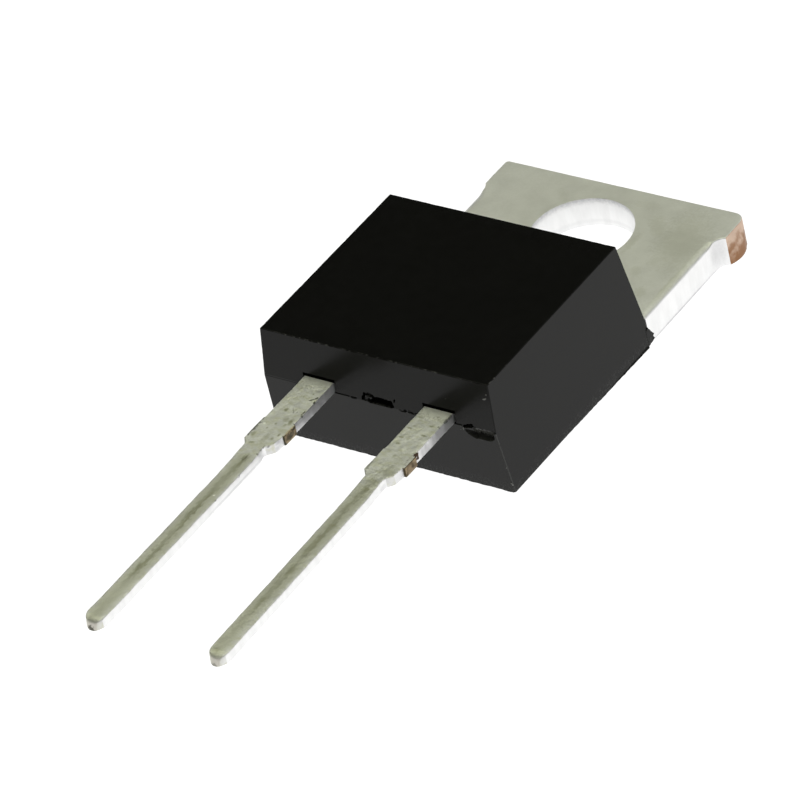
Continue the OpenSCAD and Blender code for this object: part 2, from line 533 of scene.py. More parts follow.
@dataclass(frozen=True)
class Section:
    """Rounded cross-section of a lead strip, upright across the part's width."""

    y: float
    left: float
    right: float
    low: float
    high: float
    round_left: float
    round_right: float
    lean: float = 0.0
    dents: float = 0.0

    CORNER_STEPS = 5
    FLAT_STEPS = 20
    COUNT = 4 * CORNER_STEPS + 2 * FLAT_STEPS
    DENT_SIZE = (0.2, 0.3, 0.25)
    SPECK_SIZE = (0.07, 0.1, 0.1)
    SPECK_SHARE = 0.5

    def point(self, index: int) -> Vector:
        """One point of the section.

        Args:
            index: Place of the point, against the clock from the right end of the top right corner.

        Returns:
            The point, in the part's frame.
        """
        half, step = divmod(index, self.COUNT // 2)
        up = 1 - 2 * half
        near, far = (self.right, self.left) if up > 0 else (self.left, self.right)
        round_near, round_far = (
            (self.round_right, self.round_left) if up > 0 else (self.round_left, self.round_right))
        start, end = near - up * round_near, far + up * round_far
        second = step - self.CORNER_STEPS - self.FLAT_STEPS
        flat = (step - self.CORNER_STEPS + 1) / (self.FLAT_STEPS + 1)
        if step < self.CORNER_STEPS:
            angle, radius, x = step / (self.CORNER_STEPS - 1), round_near, start
        elif second >= 0:
            angle, radius, x = 1.0 + second / (self.CORNER_STEPS - 1), round_far, end
        else:
            angle, radius, x = 1.0, min(round_near, round_far), start + (end - start) * flat
        angle = angle * math.pi / 2.0 + half * math.pi
        level = (self.high if up > 0 else self.low) - up * radius
        away = Vector((math.cos(angle), 0.0, math.sin(angle)))
        spot = Vector((x, self.y, level)) + away * radius
        if self.CORNER_STEPS <= step and second < 0:
            spot.z = self.high if up > 0 else self.low
        share = (spot.z - self.low) / (self.high - self.low)
        coarse = noise.noise(Vector(c / d for c, d in zip(spot, self.DENT_SIZE)))
        fine = noise.noise(Vector(c / d for c, d in zip(spot, self.SPECK_SIZE)))
        spot += away * (self.dents * (coarse + self.SPECK_SHARE * fine))
        spot.y += self.lean * share
        return spot


@dataclass(frozen=True)
class Patches:
    """Soft noise of a finish, and the range of it that shows.

    The size of a patch is in millimetres, detail counts the octaves of finer noise on it, stretch makes it
    longer along each axis, and seed moves the pattern. Noise from low to high becomes first to last.
    """

    size: float
    low: float = 0.3
    high: float = 0.7
    first: float = 0.0
    last: float = 1.0
    detail: float = 3.0
    stretch: Triple = (1.0, 1.0, 1.0)
    seed: float = 0.0


class NodeBoard:
    """Lays out the nodes of one finish round its shader."""

    MIX_FIRST = 6
    MIX_SECOND = 7
    MIX_RESULT = 2
    SEED_WAY = (1.0, 1.7, 2.3)
    MARK_EDGE = 1.05

    def __init__(self, name: str) -> None:
        """Starts a material with a shader and the piece's own coordinates.

        Args:
            name: Name of the material.
        """
        self.material = bpy.data.materials.new(name)
        self.material.use_nodes = True
        self.tree = self.material.node_tree
        self.tree.nodes.clear()
        self.shader = self.tree.nodes.new("ShaderNodeBsdfPrincipled")
        output = self.tree.nodes.new("ShaderNodeOutputMaterial")
        self.tree.links.new(self.shader.outputs["BSDF"], output.inputs["Surface"])
        self.coords = self.tree.nodes.new("ShaderNodeTexCoord").outputs["Object"]

    def feed(self, socket: Socket, value: object) -> None:
        """Links a socket, or sets its own value.

        Args:
            socket: Socket to feed.
            value: Another socket, or a value.
        """
        if isinstance(value, Socket):
            self.tree.links.new(value, socket)
        elif isinstance(value, tuple) and len(value) == 3 and socket.type == "RGBA":
            socket.default_value = (*value, 1.0)
        else:
            socket.default_value = value

    def set(self, **sockets: object) -> None:
        """Feeds sockets of the shader, named with underscores for spaces."""
        for name, value in sockets.items():
            self.feed(self.shader.inputs[name.replace("_", " ")], value)

    def noise(self, kind: Patches) -> Socket:
        """Soft noise over the piece.

        Args:
            kind: Patches to draw.

        Returns:
            The noise, about 0.5 on average.
        """
        mapping = self.tree.nodes.new("ShaderNodeMapping")
        mapping.inputs["Scale"].default_value = [1.0 / (kind.size * MM * s) for s in kind.stretch]
        mapping.inputs["Location"].default_value = [kind.seed * way for way in self.SEED_WAY]
        self.feed(mapping.inputs["Vector"], self.coords)
        texture = self.tree.nodes.new("ShaderNodeTexNoise")
        texture.inputs["Scale"].default_value = 1.0
        texture.inputs["Detail"].default_value = kind.detail
        self.feed(texture.inputs["Vector"], mapping.outputs["Vector"])
        return texture.outputs["Fac"]

    def ease(self, value: Socket, low: float, high: float, first: float = 0.0, last: float = 1.0) -> Socket:
        """Eases a value from one range to another.

        Args:
            value: Value to map.
            low: Value that gives first.
            high: Value that gives last.
            first: Result at low.
            last: Result at high.

        Returns:
            The mapped value.
        """
        node = self.tree.nodes.new("ShaderNodeMapRange")
        node.interpolation_type = "SMOOTHSTEP"
        self.feed(node.inputs["Value"], value)
        node.inputs["From Min"].default_value = low
        node.inputs["From Max"].default_value = high
        node.inputs["To Min"].default_value = first
        node.inputs["To Max"].default_value = last
        return node.outputs["Result"]

    def patches(self, kind: Patches, plus: Socket | None = None) -> Socket:
        """Soft noise over the piece, eased to the range that shows.

        Args:
            kind: The noise and its range.
            plus: What is added to the noise before it is eased.

        Returns:
            The eased value.
        """
        value = self.noise(kind)
        if plus is not None:
            value = self.maths("ADD", value, plus)
        return self.ease(value, kind.low, kind.high, kind.first, kind.last)

    def maths(self, operation: str, first: object, second: object) -> Socket:
        """Joins two values.

        Args:
            operation: Name of the operation.
            first: First value.
            second: Second value.

        Returns:
            The result.
        """
        node = self.tree.nodes.new("ShaderNodeMath")
        node.operation = operation
        self.feed(node.inputs[0], first)
        self.feed(node.inputs[1], second)
        return node.outputs[0]

    def blend(self, share: Socket, first: object, second: object) -> Socket:
        """Blends two colours.

        Args:
            share: Share of the second colour.
            first: First colour.
            second: Second colour.

        Returns:
            The colour.
        """
        node = self.tree.nodes.new("ShaderNodeMix")
        node.data_type = "RGBA"
        self.feed(node.inputs[0], share)
        self.feed(node.inputs[self.MIX_FIRST], first)
        self.feed(node.inputs[self.MIX_SECOND], second)
        return node.outputs[self.MIX_RESULT]

    def trace(self, trace: Trace) -> Socket:
        """Reads a trace that the mesh carries on its faces.

        Args:
            trace: Kind of trace.

        Returns:
            The amount of it.
        """
        node = self.tree.nodes.new("ShaderNodeAttribute")
        node.attribute_name = trace.value
        return node.outputs["Fac"]

    def spots(self, marks: Sequence[Mark], soft: float, ragged: Socket) -> Socket:
        """Share of a set of marks.

        Args:
            marks: Marks, measured from the part's origin.
            soft: Share of a mark's radius over which it fades.
            ragged: Waver of the borders.

        Returns:
            The share, from 0 to 1.
        """
        total: Socket | float = 0.0
        for mark in marks:
            mapping = self.tree.nodes.new("ShaderNodeMapping")
            mapping.vector_type = "TEXTURE"
            mapping.inputs["Location"].default_value = (mark.across * MM, -mark.out * MM, mark.z * MM)
            mapping.inputs["Rotation"].default_value = (0.0, 0.0, math.radians(mark.turn))
            halves = (mark.half_wide, mark.half_len, mark.half_high)
            mapping.inputs["Scale"].default_value = [half * MM for half in halves]
            self.feed(mapping.inputs["Vector"], self.coords)
            far = self.tree.nodes.new("ShaderNodeVectorMath")
            far.operation = "LENGTH"
            self.feed(far.inputs[0], mapping.outputs["Vector"])
            edge = self.maths("ADD", far.outputs["Value"], ragged)
            share = self.ease(edge, self.MARK_EDGE - soft, self.MARK_EDGE, mark.amount, 0.0)
            total = self.maths("MAXIMUM", total, share)
        return total

    def along(self, axis: str) -> Socket:
        """Reads the place along one axis of the part.

        Args:
            axis: Letter of the axis.

        Returns:
            The place, in metres.
        """
        node = self.tree.nodes.new("ShaderNodeSeparateXYZ")
        self.feed(node.inputs["Vector"], self.coords)
        return node.outputs[axis]

    def bump(self, height: Socket, depth: float, under: Socket | None = None) -> Socket:
        """Raises the surface by a height.

        Args:
            height: Height, from 0 to 1.
            depth: Real height of 1, in millimetres.
            under: Normal of a coarser relief below this one.

        Returns:
            The new normal.
        """
        node = self.tree.nodes.new("ShaderNodeBump")
        node.inputs["Strength"].default_value = 1.0
        node.inputs["Distance"].default_value = depth * MM
        self.feed(node.inputs["Height"], height)
        if under is not None:
            self.feed(node.inputs["Normal"], under)
        return node.outputs["Normal"]


@dataclass(frozen=True)
class MouldingFinish:
    """Matt black moulding compound with a fine spark-eroded grain and pale rubbed edges; along the lower
    front corner the pale rub also paints the rounded edge's highlight.
    """

    tone: Colour = (0.0040, 0.0040, 0.0033)
    dusty: Colour = (0.0046, 0.0046, 0.0039)
    speck: Colour = (0.03, 0.03, 0.029)
    # Paler broken compound of the gate scar; part of its paleness is painted light that lifts the scar out of
    # its shade
    broken: Colour = (0.035, 0.035, 0.031)
    rub_and_highlight: Colour = (0.055, 0.055, 0.053)
    chalk: Colour = (0.2, 0.2, 0.19)
    specular: float = 0.15
    clouds: Patches = Patches(2.4, 0.35, 0.7, detail=4.0)
    specks: Patches = Patches(0.08, 0.5, 0.66, detail=2.0, seed=3.0)
    rubs: Patches = Patches(0.14, 0.70, 0.86, seed=7.0)
    sheen: Patches = Patches(0.4, first=0.22, last=0.25, seed=5.0)
    grain: Patches = Patches(0.06, seed=11.0)
    grain_depth: float = 0.001
    wear_reach: float = 0.4
    edge_span: Span = (0.1, 0.5)
    chalk_span: Span = (1.2, 1.8)
    rough_from: float = 0.1
    rough_to: float = 0.6

    def material(self) -> bpy.types.Material:
        """Lays out the nodes.

        Returns:
            The material.
        """
        board = NodeBoard("moulding_compound")
        colour = board.blend(board.patches(self.clouds), self.tone, self.dusty)
        foot = board.ease(board.along("Z"), self.rough_from * MM, self.rough_to * MM, 1.0, 0.0)
        specks = board.maths("MULTIPLY", board.patches(self.specks), foot)
        colour = board.blend(specks, colour, self.speck)
        worn = board.trace(Trace.WORN)
        rubs = board.patches(self.rubs, board.maths("MULTIPLY", worn, self.wear_reach))
        rubs = board.maths("MULTIPLY", rubs, board.ease(worn, *self.edge_span))
        # Pale rubs on the edges, which on the lower front corner also paint its highlight
        colour = board.blend(rubs, colour, self.rub_and_highlight)
        # The gate scar: pale broken compound, partly painted light in its shade
        colour = board.blend(board.trace(Trace.BROKEN), colour, self.broken)
        colour = board.blend(board.ease(worn, *self.chalk_span), colour, self.chalk)
        board.set(
            Base_Color=colour,
            Roughness=board.patches(self.sheen),
            Specular_IOR_Level=self.specular,
            Normal=board.bump(board.noise(self.grain), self.grain_depth))
        return board.material


@dataclass(frozen=True)
class TinFinish:
    """Dull tin plate on copper: mottled, stained and cracked, with bare copper where bars were sheared, and
    with painted highlights, painted shade and a dark reflection painted along each pin.
    """

    tin: Colour = (0.82, 0.82, 0.80)
    shade: Colour = (0.75, 0.75, 0.73)
    olive: Colour = (0.67, 0.67, 0.55)
    # Painted reflection: a wide darker band and a dark streak along the middle of each pin
    reflection_band: Colour = (0.65, 0.65, 0.57)
    reflection_streak: Colour = (0.34, 0.34, 0.24)
    bright: Colour = (0.93, 0.93, 0.93)
    cloudy: Colour = (0.87, 0.87, 0.87)
    ashen: Colour = (0.70, 0.70, 0.70)
    reflection_share: float = 1.0
    fresh: Colour = (0.61, 0.46, 0.36)
    torn: Colour = (0.30, 0.16, 0.085)
    aged: Colour = (0.41, 0.32, 0.20)
    # Dark oxide spots on aged copper; the same dark paints the shadow line round each stub
    oxide_and_shadow: Colour = (0.10, 0.08, 0.045)
    cap: Colour = (0.62, 0.60, 0.54)
    specular: float = 0.5
    mottle: Patches = Patches(0.9, 0.3, 0.72)
    ash: Patches = Patches(0.34, 0.45, 0.7, last=0.9, seed=8.0)
    blotch: Patches = Patches(0.2, 0.42, 0.72, last=0.8, detail=5.0, stretch=(1.6, 1.0, 1.0), seed=6.0)
    drag: Patches = Patches(0.3, 0.35, 0.7, stretch=(1.0, 1.0, 5.0), seed=33.0)
    dull: Patches = Patches(0.3, first=0.52, last=0.58, seed=4.0)
    polish: float = 0.1
    waves: Patches = Patches(0.5, seed=21.0)
    wave_depth: float = 0.008
    dents: Patches = Patches(0.16, seed=25.0)
    dent_depth: float = 0.010
    grain: Patches = Patches(0.07, detail=2.0, seed=17.0)
    grain_depth: float = 0.002
    mark_rag: Patches = Patches(0.1, 0.25, 0.75, seed=41.0)
    leads_from: float = -12.4
    handled_over: float = 0.3
    pins_from: float = -16.7
    pins_over: float = 0.35
    streak_to: float = -23.4
    tail_over: float = 0.8
    tail: float = 0.3
    streak_waver: Patches = Patches(
        0.5, first=-0.02 * MM, last=0.02 * MM, detail=2.0, stretch=(1.0, 3.0, 1.0), seed=29.0)
    streak_fray: Patches = Patches(
        0.12, first=-0.06 * MM, last=0.06 * MM, stretch=(1.0, 2.0, 1.0), seed=37.0)
    streak_breaks: Patches = Patches(
        0.4, 0.3, 0.6, first=0.35, last=0.85, stretch=(1.0, 5.0, 1.0), seed=31.0)
    streak_core: Span = (0.02, 0.18)
    streak_wide: Span = (0.15, 0.42)
    tear_rag: Patches = Patches(0.35, first=0.3 * MM, last=-0.3 * MM, seed=13.0)
    tear_span: Span = (0.25, 1.1)
    grime: Patches = Patches(0.2, 0.42, 0.72, seed=15.0)

    ANY_BARE, FROM_BURNT, FROM_AGED, FROM_FRESH = (0.05, 0.2), (0.22, 0.38), (0.42, 0.58), (0.65, 0.9)

    def material(self, marks: Sequence[Mark]) -> bpy.types.Material:
        """Lays out the nodes.

        Args:
            marks: Marks of the stamping, measured from the part's origin.

        Returns:
            The material.
        """
        board = NodeBoard("dull_tin_plate")
        handled_to = self.leads_from - self.handled_over
        handled = board.ease(board.along("Y"), self.leads_from * MM, handled_to * MM)
        colour = self._plate(board, handled)
        # Stains, painted shade and painted highlights over the plate's own colour
        colour = self._mark(board, colour, marks, (MarkKind.STAIN_AND_SHADE, MarkKind.PAINTED_HIGHLIGHT))
        sheared = board.blend(board.patches(self.drag), self.bright, self.cloudy)
        # Painted shade, laid over the sheared sides only
        sheared = self._mark(board, sheared, marks, (MarkKind.PAINTED_SHADE,))
        colour = board.blend(board.trace(Trace.BURNISHED), colour, sheared)
        colour = self._bare(board, colour)
        # Cracks, dark spots and oxide, and the painted golden highlight on the stub's rim
        colour = self._mark(board, colour, marks, (MarkKind.DARK, MarkKind.BROWN, MarkKind.GOLD))
        shiny = board.maths("MULTIPLY", board.trace(Trace.BURNISHED), self.polish)
        coarse = board.bump(board.noise(self.waves), self.wave_depth)
        dents = board.maths("MULTIPLY", board.noise(self.dents), handled)
        dented = board.bump(dents, self.dent_depth, coarse)
        board.set(
            Base_Color=colour,
            Metallic=1.0,
            Roughness=board.maths("SUBTRACT", board.patches(self.dull), shiny),
            Specular_IOR_Level=self.specular,
            Normal=board.bump(board.noise(self.grain), self.grain_depth, dented))
        return board.material

    def _mark(self, board: NodeBoard, colour: Socket, marks: Sequence[Mark],
              kinds: Sequence[MarkKind]) -> Socket:
        """Lays marks over a colour, one kind after the other.

        Args:
            board: Board of the finish.
            colour: Colour below the marks.
            marks: Every mark of the stamping.
            kinds: Kinds to lay.

        Returns:
            The colour.
        """
        for kind in kinds:
            look = kind.value
            ragged = board.patches(replace(self.mark_rag, first=-look.waver, last=look.waver))
            chosen = [m for m in marks if m.kind is kind]
            if chosen:
                colour = board.blend(board.spots(chosen, look.soft, ragged), colour, look.colour)
        return colour

    def _plate(self, board: NodeBoard, handled: Socket) -> Socket:
        """Lays out the tin's own colour, and the dark reflection painted along each pin.

        Args:
            board: Board of the finish.
            handled: Where the plate was handled and stained.

        Returns:
            The colour.
        """
        colour = board.blend(board.patches(self.mottle), self.tin, self.shade)
        ash = board.maths("MULTIPLY", board.patches(self.ash), handled)
        colour = board.blend(ash, colour, self.ashen)
        blotch = board.maths("MULTIPLY", board.patches(self.blotch), handled)
        colour = board.blend(blotch, colour, self.olive)
        return self._paint_pin_reflection(board, colour)

    def _paint_pin_reflection(self, board: NodeBoard, colour: Socket) -> Socket:
        """Paints a dark streak along the middle of each pin, standing in for the dark reflection of its flat
        middle.

        Args:
            board: Board of the finish.
            colour: Colour below the streak.

        Returns:
            The colour.
        """
        lengthwise = board.along("Y")
        aside = board.maths("ABSOLUTE", board.along("X"), 0.0)
        across = board.maths("SUBTRACT", aside, PITCH_HALF * MM)
        waver = board.patches(self.streak_waver)
        off = board.maths("ABSOLUTE", board.maths("ADD", across, waver), 0.0)
        pins = board.ease(lengthwise, self.pins_from * MM, (self.pins_from - self.pins_over) * MM)
        frayed = board.maths("ADD", off, board.patches(self.streak_fray))
        core, edge = self.streak_core
        middle = board.maths("MULTIPLY", board.ease(frayed, core * MM, edge * MM, 1.0, 0.0), pins)
        core, edge = self.streak_wide
        wide = board.maths("MULTIPLY", board.ease(off, core * MM, edge * MM, 1.0, 0.0), pins)
        tail_end = self.streak_to - self.tail_over
        tail = board.ease(lengthwise, self.streak_to * MM, tail_end * MM, self.reflection_share, self.tail)
        broken = board.maths("MULTIPLY", board.patches(self.streak_breaks), tail)
        colour = board.blend(wide, colour, self.reflection_band)
        return board.blend(board.maths("MULTIPLY", middle, broken), colour, self.reflection_streak)

    def _bare(self, board: NodeBoard, plate: Socket) -> Socket:
        """Lays out the bare copper over the plate, with a dark shadow line painted round each stub.

        Args:
            board: Board of the finish.
            plate: Colour of the plate.

        Returns:
            The colour.
        """
        bare = board.trace(Trace.BARE)
        low, high = self.tear_span
        ragged = board.maths("ADD", board.along("Z"), board.patches(self.tear_rag))
        fresh = board.blend(board.ease(ragged, low * MM, high * MM), self.torn, self.fresh)
        aged = board.blend(board.patches(self.grime), self.aged, self.oxide_and_shadow)
        worked = board.blend(board.ease(bare, *self.FROM_AGED), self.oxide_and_shadow, aged)
        worked = board.blend(board.ease(bare, *self.FROM_BURNT), self.cap, worked)
        copper = board.blend(board.ease(bare, *self.FROM_FRESH), worked, fresh)
        return board.blend(board.ease(bare, *self.ANY_BARE), plate, copper)


@dataclass(frozen=True)
class InnerFinish:
    """Plain finish of a piece that the moulding hides: one metal or silicon tone with a fine grain."""

    name: str
    tone: Colour
    shade: Colour
    metallic: float
    roughness: float
    grain: float

    CLOUD = 4.0
    ROUGHER = 0.12
    RELIEF = 0.05

    def material(self) -> bpy.types.Material:
        """Lays out the nodes.

        Returns:
            The material.
        """
        board = NodeBoard(self.name)
        clouds = Patches(self.grain * self.CLOUD)
        fine = Patches(self.grain, first=self.roughness, last=self.roughness + self.ROUGHER, seed=5.0)
        board.set(
            Base_Color=board.blend(board.patches(clouds), self.tone, self.shade),
            Metallic=self.metallic,
            Roughness=board.patches(fine),
            Normal=board.bump(board.noise(fine), self.grain * self.RELIEF))
        return board.material


@dataclass(frozen=True)
class TableFinish:
    """White back-lit table that the part lies on."""

    tone: Colour = (0.12, 0.12, 0.12)
    shade: Colour = (0.10, 0.10, 0.10)
    glow: float = 1.04
    roughness: float = 0.7
    specular: float = 0.2
    clouds: Patches = Patches(30.0, detail=2.0)

    def material(self) -> bpy.types.Material:
        """Lays out the nodes.

        Returns:
            The material.
        """
        board = NodeBoard("light_table")
        board.set(
            Base_Color=board.blend(board.patches(self.clouds), self.tone, self.shade),
            Roughness=self.roughness,
            Specular_IOR_Level=self.specular,
            Emission_Color=WHITE,
            Emission_Strength=self.glow)
        return board.material


@dataclass(frozen=True)
class LeadShape:
    """One stamped lead outside the moulding: shoulder, sheared dam-bar stubs, narrow pin and tip."""

    centre: float
    front: float
    end: float
    low: float
    high: float
    lean_near: float
    lean_far: float
    marks: tuple[Mark, ...]
    flare: tuple[Span, ...]
    trim: float = 0.0
    shoulder_w: float = 1.25
    pin_w: float = 0.76
    bar_from: float = 2.4
    bar_len: float = 0.65
    bar_out: float = 0.06
    swell: float = 0.045
    swell_len: float = 0.06
    shoulder_past: float = 0.5
    step_len: float = 0.28
    root_w: float = 0.05
    root_len: float = 1.9
    flare_len: float = 1.0
    edge_round: float = 0.03
    pin_round: float = 0.05
    sheared_round: float = 0.035
    tip_len: float = 0.5
    nose_len: float = 0.42
    tip_slant: float = 0.08
    step: float = 0.05
    ripple: float = 0.008
    ripple_len: float = 0.5
    dents: float = 0.007
    nose_t: float = 0.35

    TIP_STEPS = (0.8, 0.65, 0.5, 0.38, 0.28, 0.2, 0.13, 0.08, 0.04, 0.015)
    CORNER_GAP = 0.012
    BLUNT = 0.95
    ROUND_TO_THICK = 0.45
    ROUND_TO_HALF = 0.9
    # Levels of bareness; the shadow-line level paints a dark shadow line round the copper stub
    CLEAN, CAP, BURNT, AGED = 0.0, 0.2, 0.4, 0.6
    FACING, TURNED, ENDWISE, TIPWARD = 0.9, 0.3, 0.5, 0.85

    @property
    def bar_to(self) -> float:
        """Far end of the dam-bar stub, from the front of the moulding."""
        return self.bar_from + self.bar_len

    @property
    def length(self) -> float:
        """Length of the lead outside the moulding."""
        return self.end - self.front

    def left(self, out: float) -> float:
        """Left edge of the lead.

        Args:
            out: Distance out of the moulding.

        Returns:
            The edge, from the lead's centre line.
        """
        swollen = self.swell * smooth_step(self.bar_from - self.swell_len, self.bar_from, out)
        shoulder = -self.shoulder_w / 2.0 - swollen
        step_from = self.bar_to + self.shoulder_past
        share = min(1.0, max(0.0, (out - step_from) / self.step_len))
        root = self.root_w * smooth_step(step_from + self.root_len, step_from + self.step_len, out)
        return shoulder + (-self.pin_w / 2.0 - root - shoulder) * share

    def right(self, out: float) -> float:
        """Right edge of the lead.

        Args:
            out: Distance out of the moulding.

        Returns:
            The edge, from the lead's centre line.
        """
        if self.bar_from <= out <= self.bar_to:
            return self.shoulder_w / 2.0 + self.bar_out
        if out < self.bar_from:
            return self.shoulder_w / 2.0 - self.trim
        past = out - self.bar_to
        for (from_out, from_edge), (to_out, to_edge) in zip(self.flare, self.flare[1:]):
            if past < to_out:
                return from_edge + (to_edge - from_edge) * (past - from_out) / (to_out - from_out)
        return self.pin_w / 2.0

    def section(self, out: float) -> Section:
        """Cross-section at a distance out of the moulding.

        Args:
            out: Distance past the front of the moulding.

        Returns:
            The section, in the part's frame.
        """
        far = max(0.0, (out - self.bar_to) / (self.length - self.bar_to))
        sway = smooth_step(self.bar_from, self.bar_to + self.flare_len, out) * self.lean_near
        sway += far * (self.lean_far - self.lean_near)
        waver = noise.noise(Vector((self.centre, out / self.ripple_len, 0.0))) * self.ripple
        left, right = self.left(out) + waver, self.right(out) + waver
        blunt = max(0.0, 1.0 - (self.length - out) / self.tip_len)
        nose = math.sqrt(1.0 - (self.BLUNT * blunt) ** 2)
        stub = max(0.0, 1.0 - (self.length - out) / self.nose_len)
        drop = math.sqrt(1.0 - (self.BLUNT * stub) ** 2)
        half = (right - left) / 2.0 * nose
        axis = self.centre + sway + (left + right) / 2.0
        thick = (self.high - self.low) * (self.nose_t + (1.0 - self.nose_t) * drop)
        on_bar = self.bar_from <= out <= self.bar_to
        slim = smooth_step(self.bar_to + self.flare_len, self.bar_to + 2.0 * self.flare_len, out)
        edge = self.edge_round + (self.pin_round - self.edge_round) * slim + waver
        edge = min(edge, self.ROUND_TO_THICK * thick, self.ROUND_TO_HALF * half)
        return Section(
            y=-self.front - out,
            left=axis - half,
            right=axis + half,
            low=self.low,
            high=self.low + thick,
            round_left=edge,
            round_right=self.sheared_round if on_bar else edge,
            lean=self.tip_slant * blunt * blunt,
            dents=0.0 if on_bar or out < 0.0 else self.dents)

    def sections(self, start: float) -> list[Section]:
        """Cross-sections from a distance out of the moulding to the tip.

        Args:
            start: Where to start, below 0 inside the moulding.

        Returns:
            The sections in order.
        """
        bars, gaps = (self.bar_from, self.bar_to), (-self.CORNER_GAP, 0.0, self.CORNER_GAP)
        corners = [bar + gap for bar in bars for gap in gaps]
        tip = [self.length - self.tip_len * share for share in self.TIP_STEPS]
        fixed = [start, 0.0, *corners, *tip, self.length]
        count = math.ceil((self.length - start) / self.step)
        even = (start + (self.length - start) * i / count for i in range(count))
        free = [out for out in even if min(abs(out - place) for place in fixed) > self.step / 2.0]
        return [self.section(out) for out in sorted(fixed + free)]

    def dent(self, bench: MeshBench) -> None:
        """Presses the lead's marks into its top.

        Args:
            bench: Bench with the lead.
        """
        for vert in bench.bm.verts:
            if vert.co.z > (self.low + self.high) / 2.0:
                across, out = vert.co.x - self.centre, -vert.co.y - self.front
                vert.co.z -= sum(mark.sink(across, out) for mark in self.marks)

    def placed_marks(self) -> list[Mark]:
        """The lead's marks, measured from the part's origin."""
        return [mark.moved(self.centre, self.front, self.high) for mark in self.marks]

    def bareness(self, face: BMFace) -> float:
        """How bare a face is.

        Args:
            face: Face of the stamping.

        Returns:
            One of the levels from clean plate to aged copper.
        """
        centre, normal = centre_of(face), face.normal
        out, across = -centre.y - self.front, centre.x - self.centre
        if abs(across) > self.shoulder_w or centre.z < self.low - self.bar_out:
            return self.CLEAN
        if self.bar_from - self.CORNER_GAP < out < self.bar_to + self.CORNER_GAP:
            if across < -self.shoulder_w / 2.0 - self.CORNER_GAP and normal.x < -self.FACING:
                return self.AGED
            outside = across > self.shoulder_w / 2.0 - self.CORNER_GAP
            if outside and normal.x > self.FACING:
                return self.AGED
            # The stub's turned corners and end walls take a dark shadow line painted round the copper
            if outside and (normal.x > self.TURNED or abs(normal.y) > self.ENDWISE):
                return self.BURNT
        on_cap = out > self.length - self.nose_len and normal.y < -self.TIPWARD
        return self.CAP if on_cap else self.CLEAN


SHEARED_TAB_FROM = -4.0
SHEARED_TILT = 0.6
SHEARED_FACING = 0.92


def burnish(face: BMFace) -> float:
    """How far shearing burnished a face: only faces that stand upright along the part, or in its hole.

    Args:
        face: Face of a stamping.

    Returns:
        1 for a burnished face, or 0.
    """
    centre = centre_of(face)
    on_tab = centre.y > SHEARED_TAB_FROM and abs(face.normal.z) < SHEARED_TILT
    return float(on_tab or abs(face.normal.x) > SHEARED_FACING)


# Distance past the dam-bar stub, and right edge from the lead's centre line
CATHODE_FLARE = (
    (0.0, 0.625), (0.2, 0.61), (0.42, 0.585), (0.52, 0.53), (0.6, 0.455), (0.7, 0.355), (0.8, 0.315),
    (0.9, 0.32), (1.05, 0.36), (1.2, 0.385), (1.6, 0.4))
ANODE_FLARE = (
    (0.0, 0.6), (0.2, 0.585), (0.42, 0.56), (0.52, 0.515), (0.6, 0.445), (0.7, 0.36), (0.8, 0.33),
    (0.95, 0.325), (1.4, 0.35), (1.9, 0.38))
STAIN_AND_SHADE, PAINTED_HIGHLIGHT, PAINTED_SHADE, DARK, BROWN, GOLD = MarkKind
